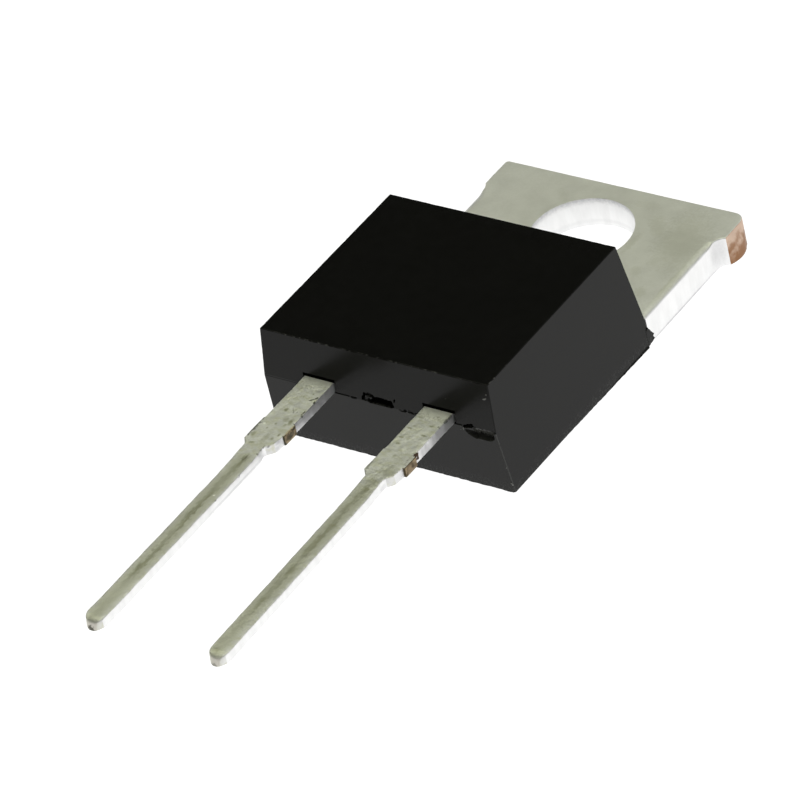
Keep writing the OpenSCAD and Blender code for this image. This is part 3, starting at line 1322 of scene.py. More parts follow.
# Rows of marks: across, out, half length, half width, turn, amount, depth, height and half height
CATHODE_MARKS = (
    # The first row paints the lead's top paler near the moulding, as painted light where the body shades it;
    # the other rows are painted highlights
    *marks_of(PAINTED_HIGHLIGHT, (0.0, 0.0, 0.6, 1.0, 0.0, 0.9), (0.53, 1.08, 0.09, 0.04, 20.0, 0.7),
        (-0.43, 2.67, 0.06, 0.06, 0.0, 1.0, -0.016), (0.19, 6.6, 0.06, 0.06)),
    *marks_of(DARK, (0.55, 0.86, 0.1, 0.05, -22.0, 0.9, 0.008),
        (0.44, 1.0, 0.13, 0.04, -45.0, 0.9, 0.008), (0.6, 1.09, 0.07, 0.05, 0.0, 0.9, 0.008),
        (0.575, 1.68, 0.09, 0.05, 0.0, 0.8, 0.008), (0.56, 1.8, 0.06, 0.05, 0.0, 0.6, 0.008),
        (0.61, 1.88, 0.06, 0.045, 0.0, 0.7, 0.008), (0.12, 1.7, 0.14, 0.02, 35.0, 0.4),
        (0.19, 1.79, 0.09, 0.035, 40.0, 0.4, 0.012), (0.33, 1.76, 0.06, 0.035, -30.0, 0.4, 0.012),
        (-0.67, 2.95, 0.68, 0.13, 0.0, 0.75), (-0.57, 3.68, 0.25, 0.06, 40.0, 0.35),
        (0.42, 3.68, 0.12, 0.035, -45.0, 0.6), (0.31, 3.86, 0.17, 0.03, 0.0, 0.5),
        # The long row at -0.38 darkens the pin's left edge: painted shade of its rounding
        (0.33, 4.2, 0.08, 0.05, 60.0, 0.5), (-0.38, 8.7, 5.2, 0.1, 0.3, 0.2),
        (0.0, 4.5, 0.2, 0.12, 0.0, 0.35, 0.014), (0.4, 5.4, 0.09, 0.035, 0.0, 0.8, 0.03),
        (0.4, 6.8, 0.1, 0.03, 0.0, 0.6, 0.02), (0.68, 2.73, 0.22, 0.2, 0.0, 0.7, 0.0, 2.88, 0.15),
        (0.68, 2.46, 0.1, 0.2, 0.0, 0.8, 0.0, 3.0, 0.07),
        (0.68, 3.03, 0.07, 0.2, 0.0, 0.9, 0.0, 2.71, 0.09),
        (0.62, 2.36, 0.04, 0.1, 0.0, 0.6, 0.0, 3.03, 0.07),
        (0.66, 3.05, 0.03, 0.2, 0.0, 0.6, 0.0, 2.95, 0.16),
        (0.0, 13.7, 0.14, 0.2, 0.0, 0.85, 0.0, 2.68, 0.17), (0.0, 6.8, 4.4, 1.5, 0.0, 0.08)),
    *marks_of(STAIN_AND_SHADE, (-0.13, 1.75, 0.15, 0.11), (0.0, 0.38, 0.07, 0.06), (0.3, 0.72, 0.07, 0.05),
        (0.05, 0.95, 0.07, 0.04, 0.0, 0.6), (0.43, 2.3, 0.24, 0.12, 10.0),
        (0.2, 2.25, 0.18, 0.17, 0.0, 0.6), (0.33, 2.52, 0.14, 0.1, 0.0, 0.6),
        (-0.03, 2.55, 0.08, 0.07, 0.0, 0.8), (-0.2, 2.85, 0.09, 0.06, 0.0, 0.8),
        (0.08, 3.3, 0.35, 0.18, 0.0, 0.5), (0.45, 3.05, 0.12, 0.07), (0.33, 3.3, 0.12, 0.09, 0.0, 0.8),
        (-0.25, 3.7, 0.07, 0.17, 25.0), (-0.47, 3.28, 0.17, 0.11, 0.0, 0.8)),
    # Painted golden highlight along the top rim of the copper stub
    *marks_of(GOLD, (0.66, 2.72, 0.36, 0.06, 0.0, 0.7, 0.0, 3.07, 0.05)),
    # Painted shade on the sheared sides of the flare and pin
    *marks_of(PAINTED_SHADE, (0.5, 3.5, 0.32, 0.3, 0.0, 0.55, 0.0, 2.8, 0.18),
        (0.5, 3.38, 0.24, 0.3, 0.0, 0.5, 0.0, 2.98, 0.12),
        (0.4, 3.95, 0.22, 0.3, 0.0, 0.3, 0.0, 2.76, 0.12),
        (0.4, 5.6, 2.4, 0.3, 0.0, 0.4, 0.0, 2.78, 0.06)))
ANODE_MARKS = (
    # Paints the lead's top paler near the moulding, as painted light where the body shades it
    *marks_of(PAINTED_HIGHLIGHT, (0.0, 0.0, 0.6, 1.0, 0.0, 0.9)),
    *marks_of(STAIN_AND_SHADE, (-0.4, 0.5, 0.07, 0.2, 0.0, 0.7), (-0.42, 1.13, 0.06, 0.15, 0.0, 0.9),
        (-0.42, 1.65, 0.07, 0.15, 0.0, 0.9), (-0.34, 1.98, 0.08, 0.12, 0.0, 0.8),
        (0.28, 0.8, 0.07, 0.13, 0.0, 0.8), (0.3, 1.32, 0.07, 0.17, 0.0, 0.9),
        (-0.3, 1.0, 0.06, 0.12, 0.0, 0.5), (0.2, 0.3, 0.07, 0.18, 0.0, 0.5),
        (0.0, 2.3, 0.06, 0.12, 0.0, 0.5), (-0.05, 2.6, 0.12, 0.11, 0.0, 0.5),
        (0.22, 3.4, 0.48, 0.4, 0.0, 0.55), (0.18, 3.15, 0.14, 0.34, 0.0, 0.45),
        (0.0, 4.1, 0.35, 0.35, 0.0, 0.6), (0.02, 4.45, 0.16, 0.18), (0.05, 6.5, 0.12, 0.22, 0.0, 0.7),
        (0.0, 7.5, 0.55, 0.2, 0.0, 0.5), (0.05, 9.0, 0.35, 0.22, 0.0, 0.7),
        (0.02, 10.6, 0.24, 0.18, 0.0, 0.7), (0.03, 13.35, 0.22, 0.22, 0.0, 0.6),
        (0.18, 2.78, 0.34, 0.34, 0.0, 0.2)),
    *marks_of(DARK, (0.52, 0.75, 0.07, 0.07, 0.0, 0.5), (0.57, 0.35, 0.16, 0.06, 0.0, 0.6),
        (0.58, 0.12, 0.14, 0.05, 0.0, 0.6), (-0.62, 3.3, 0.3, 0.045, 0.0, 0.35),
        (-0.59, 3.5, 0.07, 0.07, 0.0, 0.4), (-0.53, 3.68, 0.22, 0.035, 35.0, 0.35),
        # The long row at -0.35 darkens the pin's left edge: painted shade of its rounding
        (0.62, 2.27, 0.12, 0.12, 0.0, 0.8, 0.0, 2.97, 0.14), (-0.35, 8.7, 5.2, 0.1, 0.7, 0.2),
        (0.0, 13.7, 0.1, 0.2, 0.0, 0.45, 0.0, 2.68, 0.1), (0.0, 7.8, 5.0, 1.5, 0.0, 0.13)),
    *marks_of(BROWN, (0.62, 2.27, 0.17, 0.12, 0.0, 1.0, 0.0, 2.95, 0.2),
        (0.66, 2.7, 0.5, 0.2, 0.0, 0.3, 0.0, 2.8, 0.36),
        (0.68, 2.5, 0.16, 0.2, 0.0, 0.55, 0.0, 2.78, 0.14),
        (0.66, 2.32, 0.05, 0.2, 0.0, 0.9, 0.0, 2.84, 0.2)),
    # Painted shade on the sheared sides of the flare
    *marks_of(PAINTED_SHADE, (0.5, 3.4, 0.6, 0.4, 0.0, 0.3, 0.0, 2.84, 0.4),
        (0.4, 3.95, 0.3, 0.3, 0.0, 0.35, 0.0, 2.8, 0.16)))
TAB_MARKS = (
    # The first row paints shade along the rolled right edge; the others darken the top in soft patches, more
    # towards the right
    *marks_of(STAIN_AND_SHADE, (4.8, 1.6, 2.2, 0.22, 0.0, 0.35), (2.6, -1.1, 1.5, 0.6, 40.0, 0.3),
        (3.6, 0.6, 0.8, 0.5, -40.0, 0.25), (3.2, 1.4, 0.6, 0.4, 30.0, 0.25),
        (4.0, 2.4, 0.5, 0.4, 30.0, 0.3), (1.5, -2.1, 0.5, 1.2, 0.0, 0.22),
        (-1.8, -1.6, 1.0, 0.4, 40.0, 0.2), (2.15, 0.0, 1.2, 0.3, 0.0, 0.3),
        (3.9, -0.6, 2.8, 1.7, 20.0, 0.34), (0.0, 0.0, 9.0, 9.0, 0.0, 0.14)),
    # Painted shade on the sheared faces: down the top of the hole's wall, on a patch of the right side, along
    # the right bottom edge and low round the hole
    *marks_of(PAINTED_SHADE, (0.0, 0.0, 4.2, 4.2, 0.0, 1.0, 0.0, 1.27, 0.4),
        (5.1, -1.0, 0.5, 0.3, 0.0, 0.45, 0.0, 0.7, 0.9), (5.0, 1.4, 3.2, 0.4, 0.0, 0.6, 0.0, 0.04, 0.09),
        (0.0, 0.0, 4.2, 4.2, 0.0, 0.16, 0.0, 0.2, 0.14)))


@dataclass
class Piece:
    """One dressed piece of the diode."""

    name: str
    slot: str
    stands_for: str

    def place(self, made: bpy.types.Object) -> bpy.types.Object:
        """Ties a finished object to the frame and reports it.

        Args:
            made: Object of the piece.

        Returns:
            The same object.
        """
        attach(made, BODY_NAME)
        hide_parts(self.stands_for)
        LOG.info("%s: %d faces, for node %s", made.name, len(made.data.polygons), self.stands_for)
        return made


@dataclass
class CathodeStamping(Piece):
    """Heat-spreader tab, its pad inside the moulding, the formed bridge and the cathode lead."""

    lead: LeadShape
    tab_end: float
    body_back: float
    hole_r: float
    tab_t: float
    tab_w: float = 9.86
    stub: dict[Side, float] = field(default_factory=lambda: {Side.LEFT: 0.15, Side.RIGHT: 0.3})
    ear_round: dict[Side, float] = field(default_factory=lambda: {Side.LEFT: 0.14, Side.RIGHT: 0.45})
    stub_len: float = 1.45
    stub_flare: float = 0.45
    pad_end: float = 9.75
    pad_w: float = 8.4
    lock_d: float = 0.3
    lock_h: float = 0.5
    lock_from: float = 0.3
    bridge_angle: float = math.radians(55.0)
    bridge_run: float = 0.1
    weld: float = 0.5
    roll_over: float = 0.05
    roll_w: float = 0.26
    roll_d: float = 0.1
    burr_round: float = 0.03
    hole_round: float = 0.01
    set_right: float = 0.06
    shear_step: float = 0.2
    shear_wave: float = 0.6
    shear_ripple: float = 0.007
    torn_depth: float = 0.05
    torn_size: float = 0.35
    bulge: float = 0.15
    tear: float = 0.12
    lead_root: float = 0.6

    HOLE_STEPS, FLARE_STEPS, CORNER_STEPS = 36, 8, 6
    ROLL_STEPS, BURR_STEPS, RIM_STEPS = 4, 2, 3
    ROLL_LINES = (1.0, 0.7, 0.4, 0.2)
    ROLL_FADE = (0.1, -0.3)
    EAR_FROM = 0.8
    SQUARE = 0.97
    FLAT = 0.99
    STEEP = 0.5
    BARE_IN = 0.12
    BARE_FACING = 0.6

    @property
    def back_w(self) -> float:
        """Width of the pad's bare back face, below its mould-lock ledge."""
        return self.pad_w - 2.0 * self.lock_d

    @property
    def flare_y(self) -> float:
        """Where a straight side of the tab ends and the flare of its ear starts."""
        return self.tab_end - self.stub_len - self.stub_flare

    def edge(self, side: Side) -> float:
        """Distance of a straight side of the tab from the centre line."""
        return self.tab_w / 2.0 + (self.set_right if side is Side.RIGHT else 0.0)

    def build(self, finish: TinFinish) -> bpy.types.Object:
        """Builds the stamping.

        Args:
            finish: Its finish.

        Returns:
            The object.
        """
        bench = MeshBench()
        for side in Side:
            self._draw_half(bench, side)
        self._shear(bench)
        bench.thicken(list(bench.bm.faces), AXIS_Z * self.tab_t)
        bench.tidy()
        self._tear_ears(bench)
        self._round_edges(bench)
        self._roll_edges(bench)
        self._lock_pad(bench)
        self._draw_lead(bench)
        bench.leave(Trace.BARE, self._bareness)
        bench.leave(Trace.BURNISHED, burnish)
        marks = [mark.moved(0.0, 0.0, self.tab_t) for mark in TAB_MARKS] + self.lead.placed_marks()
        return self.place(bench.to_object(self.name, finish.material(marks)))

    def _draw_half(self, bench: MeshBench, side: Side) -> None:
        """Draws the plan of one half, from the hole round the pad and the tab.

        Args:
            bench: Bench that takes the plan.
            side: Half to draw.
        """
        way = side.value
        stub, corner = self.stub[side], self.ear_round[side]
        edge = way * self.edge(side)
        ear = edge + way * stub
        pad = way * self.back_w / 2.0
        radius = hollow_radius(self.stub_flare, stub)
        turn = math.asin(self.stub_flare / radius)
        pen = OutlinePen(bench, AXIS_Y * self.hole_r)
        pen.arc(Vector(), -way * math.pi, self.HOLE_STEPS)
        pen.line_to(
            Vector((0.0, -self.pad_end, 0.0)), Vector((pad, -self.pad_end, 0.0)),
            Vector((pad, -self.body_back, 0.0)), Vector((edge, -self.body_back, 0.0)),
            Vector((edge, self.flare_y, 0.0)))
        pen.arc(Vector((edge + way * radius, self.flare_y, 0.0)), -way * turn, self.FLARE_STEPS)
        pen.line_to(Vector((ear, self.tab_end - corner, 0.0)))
        centre = Vector((ear - way * corner, self.tab_end - corner, 0.0))
        pen.arc(centre, way * math.pi / 2.0, self.CORNER_STEPS)
        pen.line_to(Vector((0.0, self.tab_end, 0.0)))
        pen.fill()

    def _shear(self, bench: MeshBench) -> None:
        """Joins the two halves and gives the tab's edges the slight waver of a shear.

        Args:
            bench: Bench with the plan.
        """
        bench.tidy()
        rim = [
            e for e in bench.bm.edges
            if e.is_boundary and all(v.co.y > -self.body_back - TINY for v in e.verts)]
        bench.split_long([e for e in rim if e.calc_length() > 2.0 * self.shear_step], self.shear_step)
        edge_verts = {
            v for e in bench.bm.edges if e.is_boundary for v in e.verts
            if v.co.y > -self.body_back + TINY and v.co.xy.length > self.hole_r + self.shear_step}
        for vert in edge_verts:
            shift = noise.noise_vector(vert.co / self.shear_wave) * self.shear_ripple
            vert.co += Vector((shift.x, shift.y, 0.0))

    def _tear_ears(self, bench: MeshBench) -> None:
        """Roughens the sheared ends of the tie bars, and bulges them towards the foot.

        Args:
            bench: Bench with the plate.
        """
        for side in Side:
            start = self.edge(side) + self.EAR_FROM * self.stub[side]
            end = bench.faces(lambda c, n: abs(n.x) > self.SQUARE and c.x * side.value > start)
            torn = set(bench.slice(bench.slice(end, AXIS_Z, self.tear), AXIS_Y, self.tear))
            verts = {v for f in torn for v in f.verts}
            inner = [v for v in verts if torn.issuperset(v.link_faces)]
            bench.ruffle(inner, self.torn_depth, self.torn_size, AXIS_X)
            near, far = min(v.co.y for v in verts), max(v.co.y for v in verts)
            for vert in verts:
                up, along = vert.co.z / self.tab_t, (vert.co.y - near) / (far - near)
                arch = 4.0 * along * (1.0 - along)
                vert.co.x += side.value * self.bulge * (1.0 - up * up) * arch

    def _round_edges(self, bench: MeshBench) -> None:
        """Rounds the rolled-over top edges, the burred back edges and the hole's rims.

        Args:
            bench: Bench with the plate.
        """
        def outside(point: Vector) -> bool:
            """Tells whether a point lies outside the moulding."""
            return point.y > -self.body_back + TINY

        def on_hole(point: Vector) -> bool:
            """Tells whether a point lies on the wall of the hole."""
            return point.xy.length < self.hole_r + TINY

        top = self.tab_t - TINY
        rolled = bench.sharp_edges(lambda p: p.z > top and outside(p) and not on_hole(p))
        bench.bevel(rolled, self.roll_over, self.ROLL_STEPS)
        burred = bench.sharp_edges(lambda p: p.z < TINY and outside(p) and not on_hole(p))
        bench.bevel(burred, self.burr_round, self.BURR_STEPS)
        rims = bench.sharp_edges(lambda p: on_hole(p) and (p.z < TINY or p.z > top))
        bench.bevel(rims, self.hole_round, self.RIM_STEPS)
        for face in bench.faces(lambda c, n: abs(n.z) < self.STEEP and outside(c)):
            face.smooth = True

    def _roll_edges(self, bench: MeshBench) -> None:
        """Draws the top down along the tab's straight edges, as blanking does.

        Args:
            bench: Bench with the plate.
        """
        top, rolled = self.tab_t - TINY, self.tab_t - self.roll_over - TINY
        fade_from, fade_to = (self.flare_y + step for step in self.ROLL_FADE)
        for side in Side:
            way, edge = side.value, self.edge(side)
            flat = bench.faces(lambda c, n: n.z > self.FLAT and c.z > top and c.x * way > 0.0)
            lines = [way * (edge - self.roll_w * share) for share in self.ROLL_LINES]
            cells = bench.cut(flat, planes_at(AXIS_X, *lines))
            strips = [f for f in cells if centre_of(f).x * way > edge - self.roll_w]
            bench.slice(strips, AXIS_Y, self.shear_step)
            for vert in bench.bm.verts:
                over = min(1.0, (vert.co.x * way - edge) / self.roll_w + 1.0)
                if over > 0.0 and vert.co.z > rolled:
                    fade = smooth_step(fade_from, fade_to, vert.co.y)
                    vert.co.z -= self.roll_d * over * over * fade

    def _lock_pad(self, bench: MeshBench) -> None:
        """Draws out the ledge along each side of the pad that keys it into the moulding.

        Args:
            bench: Bench with the plate.
        """
        for side in Side:
            wall = side.value * self.back_w / 2.0
            flank = bench.faces(lambda c, n: abs(c.x - wall) < TINY and abs(n.x) > self.SQUARE)
            start = -self.body_back - self.lock_from
            cells = bench.cut(flank, planes_at(AXIS_Z, self.lock_h) + planes_at(AXIS_Y, start))
            ledge = [f for f in cells if centre_of(f).z > self.lock_h and centre_of(f).y < start]
            bench.extrude(ledge, AXIS_X * (side.value * self.lock_d))

    def _draw_lead(self, bench: MeshBench) -> None:
        """Draws the strip from the pad over the bridge to the lead's tip.

        Args:
            bench: Bench with the plate.
        """
        lead = self.lead
        strip_t = lead.high - lead.low
        mitre = strip_t * math.tan(self.bridge_angle / 2.0)
        foot = self.tab_t - strip_t
        low_bend = -self.pad_end - self.bridge_run - mitre
        high_bend = low_bend - (lead.low - foot) / math.tan(self.bridge_angle)
        start = lead.section(0.0)
        rounding = (lead.edge_round, lead.edge_round)
        width = (start.left, start.right)
        inner = [
            Section(-self.pad_end + self.weld, *width, foot, self.tab_t, *rounding),
            Section(low_bend, *width, foot, self.tab_t, *rounding, lean=mitre),
            Section(high_bend, *width, lead.low, lead.high, *rounding, lean=mitre)]
        strip = MeshBench.strip(inner + lead.sections(-self.lead_root))
        lead.dent(strip)
        bench.join(strip)

    def _bareness(self, face: BMFace) -> float:
        """How bare a face is: the sheared ends of the tie bars, or the lead's own traces.

        Args:
            face: Face of the stamping.

        Returns:
            1 on the ends of the tie bars, or the lead's own level.
        """
        centre = centre_of(face)
        side = Side.RIGHT if centre.x > 0.0 else Side.LEFT
        shear = self.edge(side) + self.stub[side]
        ear = abs(centre.x) > shear - self.BARE_IN and abs(face.normal.x) > self.BARE_FACING
        return 1.0 if ear else self.lead.bareness(face)


@dataclass
class AnodeStamping(Piece):
    """Bond post inside the moulding and the anode lead."""

    lead: LeadShape
    post_left: float
    post_back: float
    post_len: float = 1.5
    post_round: float = 0.04
    root: float = 0.3

    ROUND_STEPS = 2

    def build(self, finish: TinFinish) -> bpy.types.Object:
        """Builds the stamping.

        Args:
            finish: Its finish.

        Returns:
            The object.
        """
        bench = MeshBench()
        lead = self.lead
        outer = lead.centre + lead.shoulder_w / 2.0
        size = Vector((outer - self.post_left, self.post_len, lead.high - lead.low))
        middle = Vector((
            (outer + self.post_left) / 2.0,
            self.post_back - self.post_len / 2.0,
            (lead.high + lead.low) / 2.0))
        post = bmesh.ops.create_cube(bench.bm, size=1.0)["verts"]
        bmesh.ops.scale(bench.bm, vec=size, verts=post)
        bmesh.ops.translate(bench.bm, vec=middle, verts=post)
        bench.bm.normal_update()
        bench.bevel(bench.bm.edges, self.post_round, self.ROUND_STEPS)
        post_front = self.post_back - self.post_len
        strip = MeshBench.strip(lead.sections(-lead.front - post_front - self.root))
        lead.dent(strip)
        bench.join(strip)
        bench.leave(Trace.BARE, lead.bareness)
        bench.leave(Trace.BURNISHED, burnish)
        return self.place(bench.to_object(self.name, finish.material(lead.placed_marks())))


@dataclass
class MouldedBody(Piece):
    """Drafted block of moulding compound with lead exits, a blanked slot, a gate scar and mould flash."""

    leads: tuple[LeadShape, LeadShape]
    half_w: float
    shift: float
    front: float
    back: float
    height: float
    tab: CathodeStamping
    side_draft: float = math.radians(3.1)
    front_draft_top: float = math.radians(8.0)
    front_draft_low: float = math.radians(3.4)
    back_draft: float = math.radians(7.9)
    sunk: float = 0.01
    edge_round: float = 0.03
    wear_step: float = 0.12
    edge_chip: float = 0.02
    edge_waver: float = 0.003
    chip_fine: float = 0.14
    chip_broad: float = 0.9
    chip_mix: float = 0.6
    chip_from: float = 0.3
    rub_reach: float = 1.0
    rub_corner_w: float = 0.5
    rub_top_h: float = 0.2
    groove_h: float = 0.06
    groove_d: float = 0.035
    groove_faint: float = 0.2
    groove_turn: float = 0.2
    exit_gap: float = 0.055
    exit_over: float = 0.13
    exit_depth: float = 0.5
    shade_sheet_t: float = 0.006
    rim_step: float = 0.06
    rim_wave: float = 0.1
    rim_ragged: float = 0.018
    relief_step: float = 0.03
    slot_left: float = -1.3
    slot_right: float = 1.6
    slot_below: float = 0.13
    slot_above: float = 0.5
    gate_d: float = 0.26
    gate_ramp: float = 0.03
    gate_left: float = 3.45
    gate_right: float = 4.8
    gate_past: float = 0.05
    gate_low: float = 2.1
    gate_high: float = 2.85
    gate_slope: float = 0.9
    gate_lip_from: float = 3.95
    gate_lip: float = 0.06
    gate_web: float = 0.1
    gate_ragged: float = 0.02
    gate_wave: float = 0.12
    scar_in: float = 0.08
    scar_h: float = 0.6
    scar_from: float = 0.02
    scar_past: float = 0.05
    pad_gap: float = 0.02
    pad_recess: float = 0.4
    skirt_h: float = 0.06
    skirt_step: float = 0.1
    skirt_ragged: float = 0.03
    skirt_wave: float = 0.14
    skirt_side: float = 0.4
    skirt_front: float = 0.6
    hem_stop: float = 0.2
    splay_side: float = 0.2
    splay: float = 0.02
    splay_about: float = 7.0
    flash_t: float = 0.015
    flash_lap: float = 0.12
    flash_sunk: float = 0.03
    flash_proud: float = 0.006
    flash_free: float = 0.1
    flash_step: float = 0.06
    flash_ragged: float = 0.02
    flash_wave: float = 0.09
    flash_reach: dict[Side, float] = field(default_factory=lambda: {Side.LEFT: 0.6, Side.RIGHT: 1.0})
    crumb_rough: float = 0.8
    crumbs: tuple[Triple, ...] = (
        (3.50, 2.58, 0.022), (3.48, 2.52, 0.015), (3.37, 2.50, 0.015), (3.40, 2.64, 0.012),
        (4.20, 2.22, 0.012), (4.52, 3.97, 0.022), (4.57, 3.99, 0.028), (4.62, 4.02, 0.026),
        (4.66, 4.18, 0.022), (4.93, 0.45, 0.035), (4.96, 0.40, 0.028), (4.90, 1.15, 0.018),
        (2.9, 3.6, 0.012), (1.3, 0.6, 0.012))

    SLOT = (
        Hollow(-0.43, 2.73, 0.52, 0.065, 0.3, 2.73), Hollow(-0.22, 2.85, 0.47, 0.07, 0.26, 2.85),
        Hollow(-0.70, 2.75, -0.61, 0.04, 0.22, 2.97), Hollow(-0.47, 2.96, -0.32, 0.06, 0.09, 2.96),
        Hollow(-0.60, 2.74, -0.46, 0.05, 0.04, 2.82), Hollow(0.64, 2.92, 0.67, 0.015, 0.07, 3.02),
        Hollow(0.90, 2.68, 1.06, 0.06, 0.03, 2.67), Hollow(1.02, 2.66, 1.10, 0.035, 0.08, 2.68),
        Hollow(1.26, 2.68, 1.50, 0.06, 0.05, 2.70), Hollow(-1.2, 2.69, -1.0, 0.025, 0.06, 2.69))
    GATE_HOLE = (Hollow(3.57, 2.67, 3.86, 0.055, 0.4, 2.77), Hollow(4.78, 2.69, 4.78, 0.035, 0.06, 2.69))
    GATE_RIM = (
        (3.55, 2.5), (3.66, 2.36), (3.8, 2.28), (3.95, 2.23), (4.1, 2.27), (4.38, 2.25), (4.58, 2.28),
        (4.72, 2.37), (4.76, 2.5))
    FLASH_ROOT = (0.5, 0.02)
    FLASH_LINE = ((0.0, 0.62), (0.2, 0.33), (0.295, 0.24), (0.21, 0.19), (0.29, 0.08), (0.1, 0.03))
    # Levels of wear; the lower front corner's level also paints its edge highlight
    RUBBED, RUBBED_TOP, RUBBED_CORNER, CRUMB = 0.25, 0.45, 1.05, 2.0
    FACING, FORWARD, DOWN, STEEP = -0.98, -0.4, -0.9, 0.5
    LONG = 1.0
    ROUND_STEPS = 3

    def build(self, finish: MouldingFinish) -> bpy.types.Object:
        """Builds the moulding.

        Args:
            finish: Its finish.

        Returns:
            The object.
        """
        bench = MeshBench()
        self._draw_block(bench)
        bench.bevel(bench.sharp_edges(lambda p: p.z > self.skirt_h), self.edge_round, self.ROUND_STEPS)
        self._wear_edges(bench)
        for lead in self.leads:
            self._open_exit(bench, lead)
        self._press_groove(bench)
        slot_low, slot_high = self.part_z - self.slot_below, self.part_z + self.slot_above
        slot = (self.slot_left, self.slot_right, slot_low, slot_high)
        gate = (self.gate_left, self.gate_right + self.gate_past, self.gate_low, self.gate_high)
        self._press_relief(bench, slot, self._slot_depth)
        self._press_relief(bench, gate, self._gate_depth)
        self._recess_pad(bench)
        self._rag_skirt(bench)
        for side in Side:
            self._draw_flash(bench, side)
        bench.leave(Trace.WORN, self._wear)
        bench.leave(Trace.BROKEN, self._broken)
        self._scatter_crumbs(bench)
        return self.place(bench.to_object(self.name, finish.material()))

    @property
    def part_z(self) -> float:
        """Height of the parting plane, which is the underside of the leads."""
        return self.leads[0].low

    def _draw_block(self, bench: MeshBench) -> None:
        """Draws the side view out across the width, and gives the sides their draft.

        Args:
            bench: Empty bench.
        """
        base, tab_t = self.sunk, self.tab.tab_t
        front_low = self.front - self.part_z * math.tan(self.front_draft_low)
        front_top = self.front - (self.height - self.part_z) * math.tan(self.front_draft_top)
        back_top = self.back + (self.height - tab_t) * math.tan(self.back_draft)
        pen = OutlinePen(bench, Vector((-1.0, -front_low, base)))
        pen.line_to(
            Vector((-1.0, -self.front, self.part_z)), Vector((-1.0, -front_top, self.height)),
            Vector((-1.0, -back_top, self.height)), Vector((-1.0, -self.back, tab_t)),
            Vector((-1.0, -self.back, base)))
        bench.thicken([pen.fill()], AXIS_X * 2.0)
        for vert in bench.bm.verts:
            vert.co.x = self._wall(Side.RIGHT if vert.co.x > 0.0 else Side.LEFT, vert.co.z)
        bench.tidy()

    def _wall(self, side: Side, z: float) -> float:
        """Place of a drafted side at a height."""
        return self.shift + side.value * (self.half_w - z * math.tan(self.side_draft))

    def _wear(self, face: BMFace) -> float:
        """How far an edge is rubbed: most on the lower front corner, where the pale rub also paints the
        rounded edge's highlight, less along the top of the front.

        Args:
            face: Face of the moulding.

        Returns:
            The amount of wear.
        """
        centre = centre_of(face)
        if not face.smooth:
            return 0.0
        on_front = centre.y < -self.front + self.rub_reach
        by_corner = centre.x > self._wall(Side.RIGHT, 0.0) - self.rub_corner_w
        if on_front and by_corner and centre.z < self.part_z:
            return self.RUBBED_CORNER
        return self.RUBBED_TOP if on_front and centre.z > self.height - self.rub_top_h else self.RUBBED

    def _broken(self, face: BMFace) -> float:
        """Tells whether a face lies in the gate's broken scar.

        Args:
            face: Face of the moulding.

        Returns:
            1 in the scar, or 0.
        """
        centre = centre_of(face)
        across = self.gate_left + self.scar_in < centre.x < self.gate_right
        below = self.part_z - self.scar_h < centre.z < self.part_z
        sunk = centre.y - self._front_y(centre.z)
        return float(across and below and self.scar_from < sunk < self.gate_d + self.scar_past)

    def _front_y(self, z: float) -> float:
        """Place of the drafted front.

        Args:
            z: Height.

        Returns:
            The place along the part at that height.
        """
        above = z - self.part_z
        draft = self.front_draft_top if above > 0.0 else self.front_draft_low
        return -self.front + abs(above) * math.tan(draft)

    def _on_front(self, centre: Vector, normal: Vector) -> bool:
        """Tells whether a face is part of the front itself."""
        return normal.y < self.FACING and abs(centre.y - self._front_y(centre.z)) < self.edge_round

    def _press_groove(self, bench: MeshBench) -> None:
        """Presses the fine groove of the parting line into the front.

        Args:
            bench: Bench with the block.
        """
        front = bench.faces(lambda c, n: c.z > self.part_z and self._on_front(c, n))
        middle = self.part_z + self.groove_h / 2.0
        first = self.leads[0]
        heights = planes_at(AXIS_Z, middle, self.part_z + self.groove_h)
        turns = planes_at(AXIS_X, first.centre - self.groove_turn, first.centre + self.groove_turn)
        bench.cut(front, heights + turns)
        for vert in bench.bm.verts:
            on_line = abs(vert.co.z - middle) < TINY
            if on_line and abs(vert.co.y - self._front_y(middle)) < self.edge_round:
                faint = self.groove_faint if vert.co.x < first.centre else 1.0
                vert.co.y += self.groove_d * faint

    def _open_exit(self, bench: MeshBench, lead: LeadShape) -> None:
        """Sinks the pocket with a ragged rim that a lead comes out of.

        Args:
            bench: Bench with the block.
            lead: The lead.
        """
        reach = lead.shoulder_w / 2.0 + self.exit_gap
        front = bench.faces(lambda c, n: c.z > self.part_z and self._on_front(c, n))
        sunk = bench.window(
            front, lead.centre - reach, lead.centre + reach, self.part_z, lead.high + self.exit_over)
        bench.split_long(dict.fromkeys(e for f in sunk for e in f.edges), self.rim_step)
        for vert in {v for f in sunk for v in f.verts}:
            jitter = noise.noise_vector(vert.co / self.rim_wave) * self.rim_ragged
            vert.co.x += jitter.x
            if abs(vert.co.z - self.part_z) > TINY:
                vert.co.z += jitter.z
                vert.co.y = self._front_y(vert.co.z)
        bench.extrude(sunk, AXIS_Y * self.exit_depth)
        self._lay_shade_sheet(bench, lead, 2.0 * reach - self.exit_gap)

    def _lay_shade_sheet(self, bench: MeshBench, lead: LeadShape, width: float) -> None:
        """Lays a thin dark sheet of compound over the lead inside its exit, which stands in for the shade of
        the gap above the lead.

        Args:
            bench: Bench with the block.
            lead: The lead.
            width: Width of the sheet.
        """
        low = lead.high + self.shade_sheet_t
        start = self._front_y(low) + self.shade_sheet_t
        size = Matrix.Diagonal((width, self.exit_depth, self.shade_sheet_t, 1.0))
        centre = Vector((lead.centre, start + self.exit_depth / 2.0, low))
        bmesh.ops.create_cube(bench.bm, size=1.0, matrix=Matrix.Translation(centre) @ size)

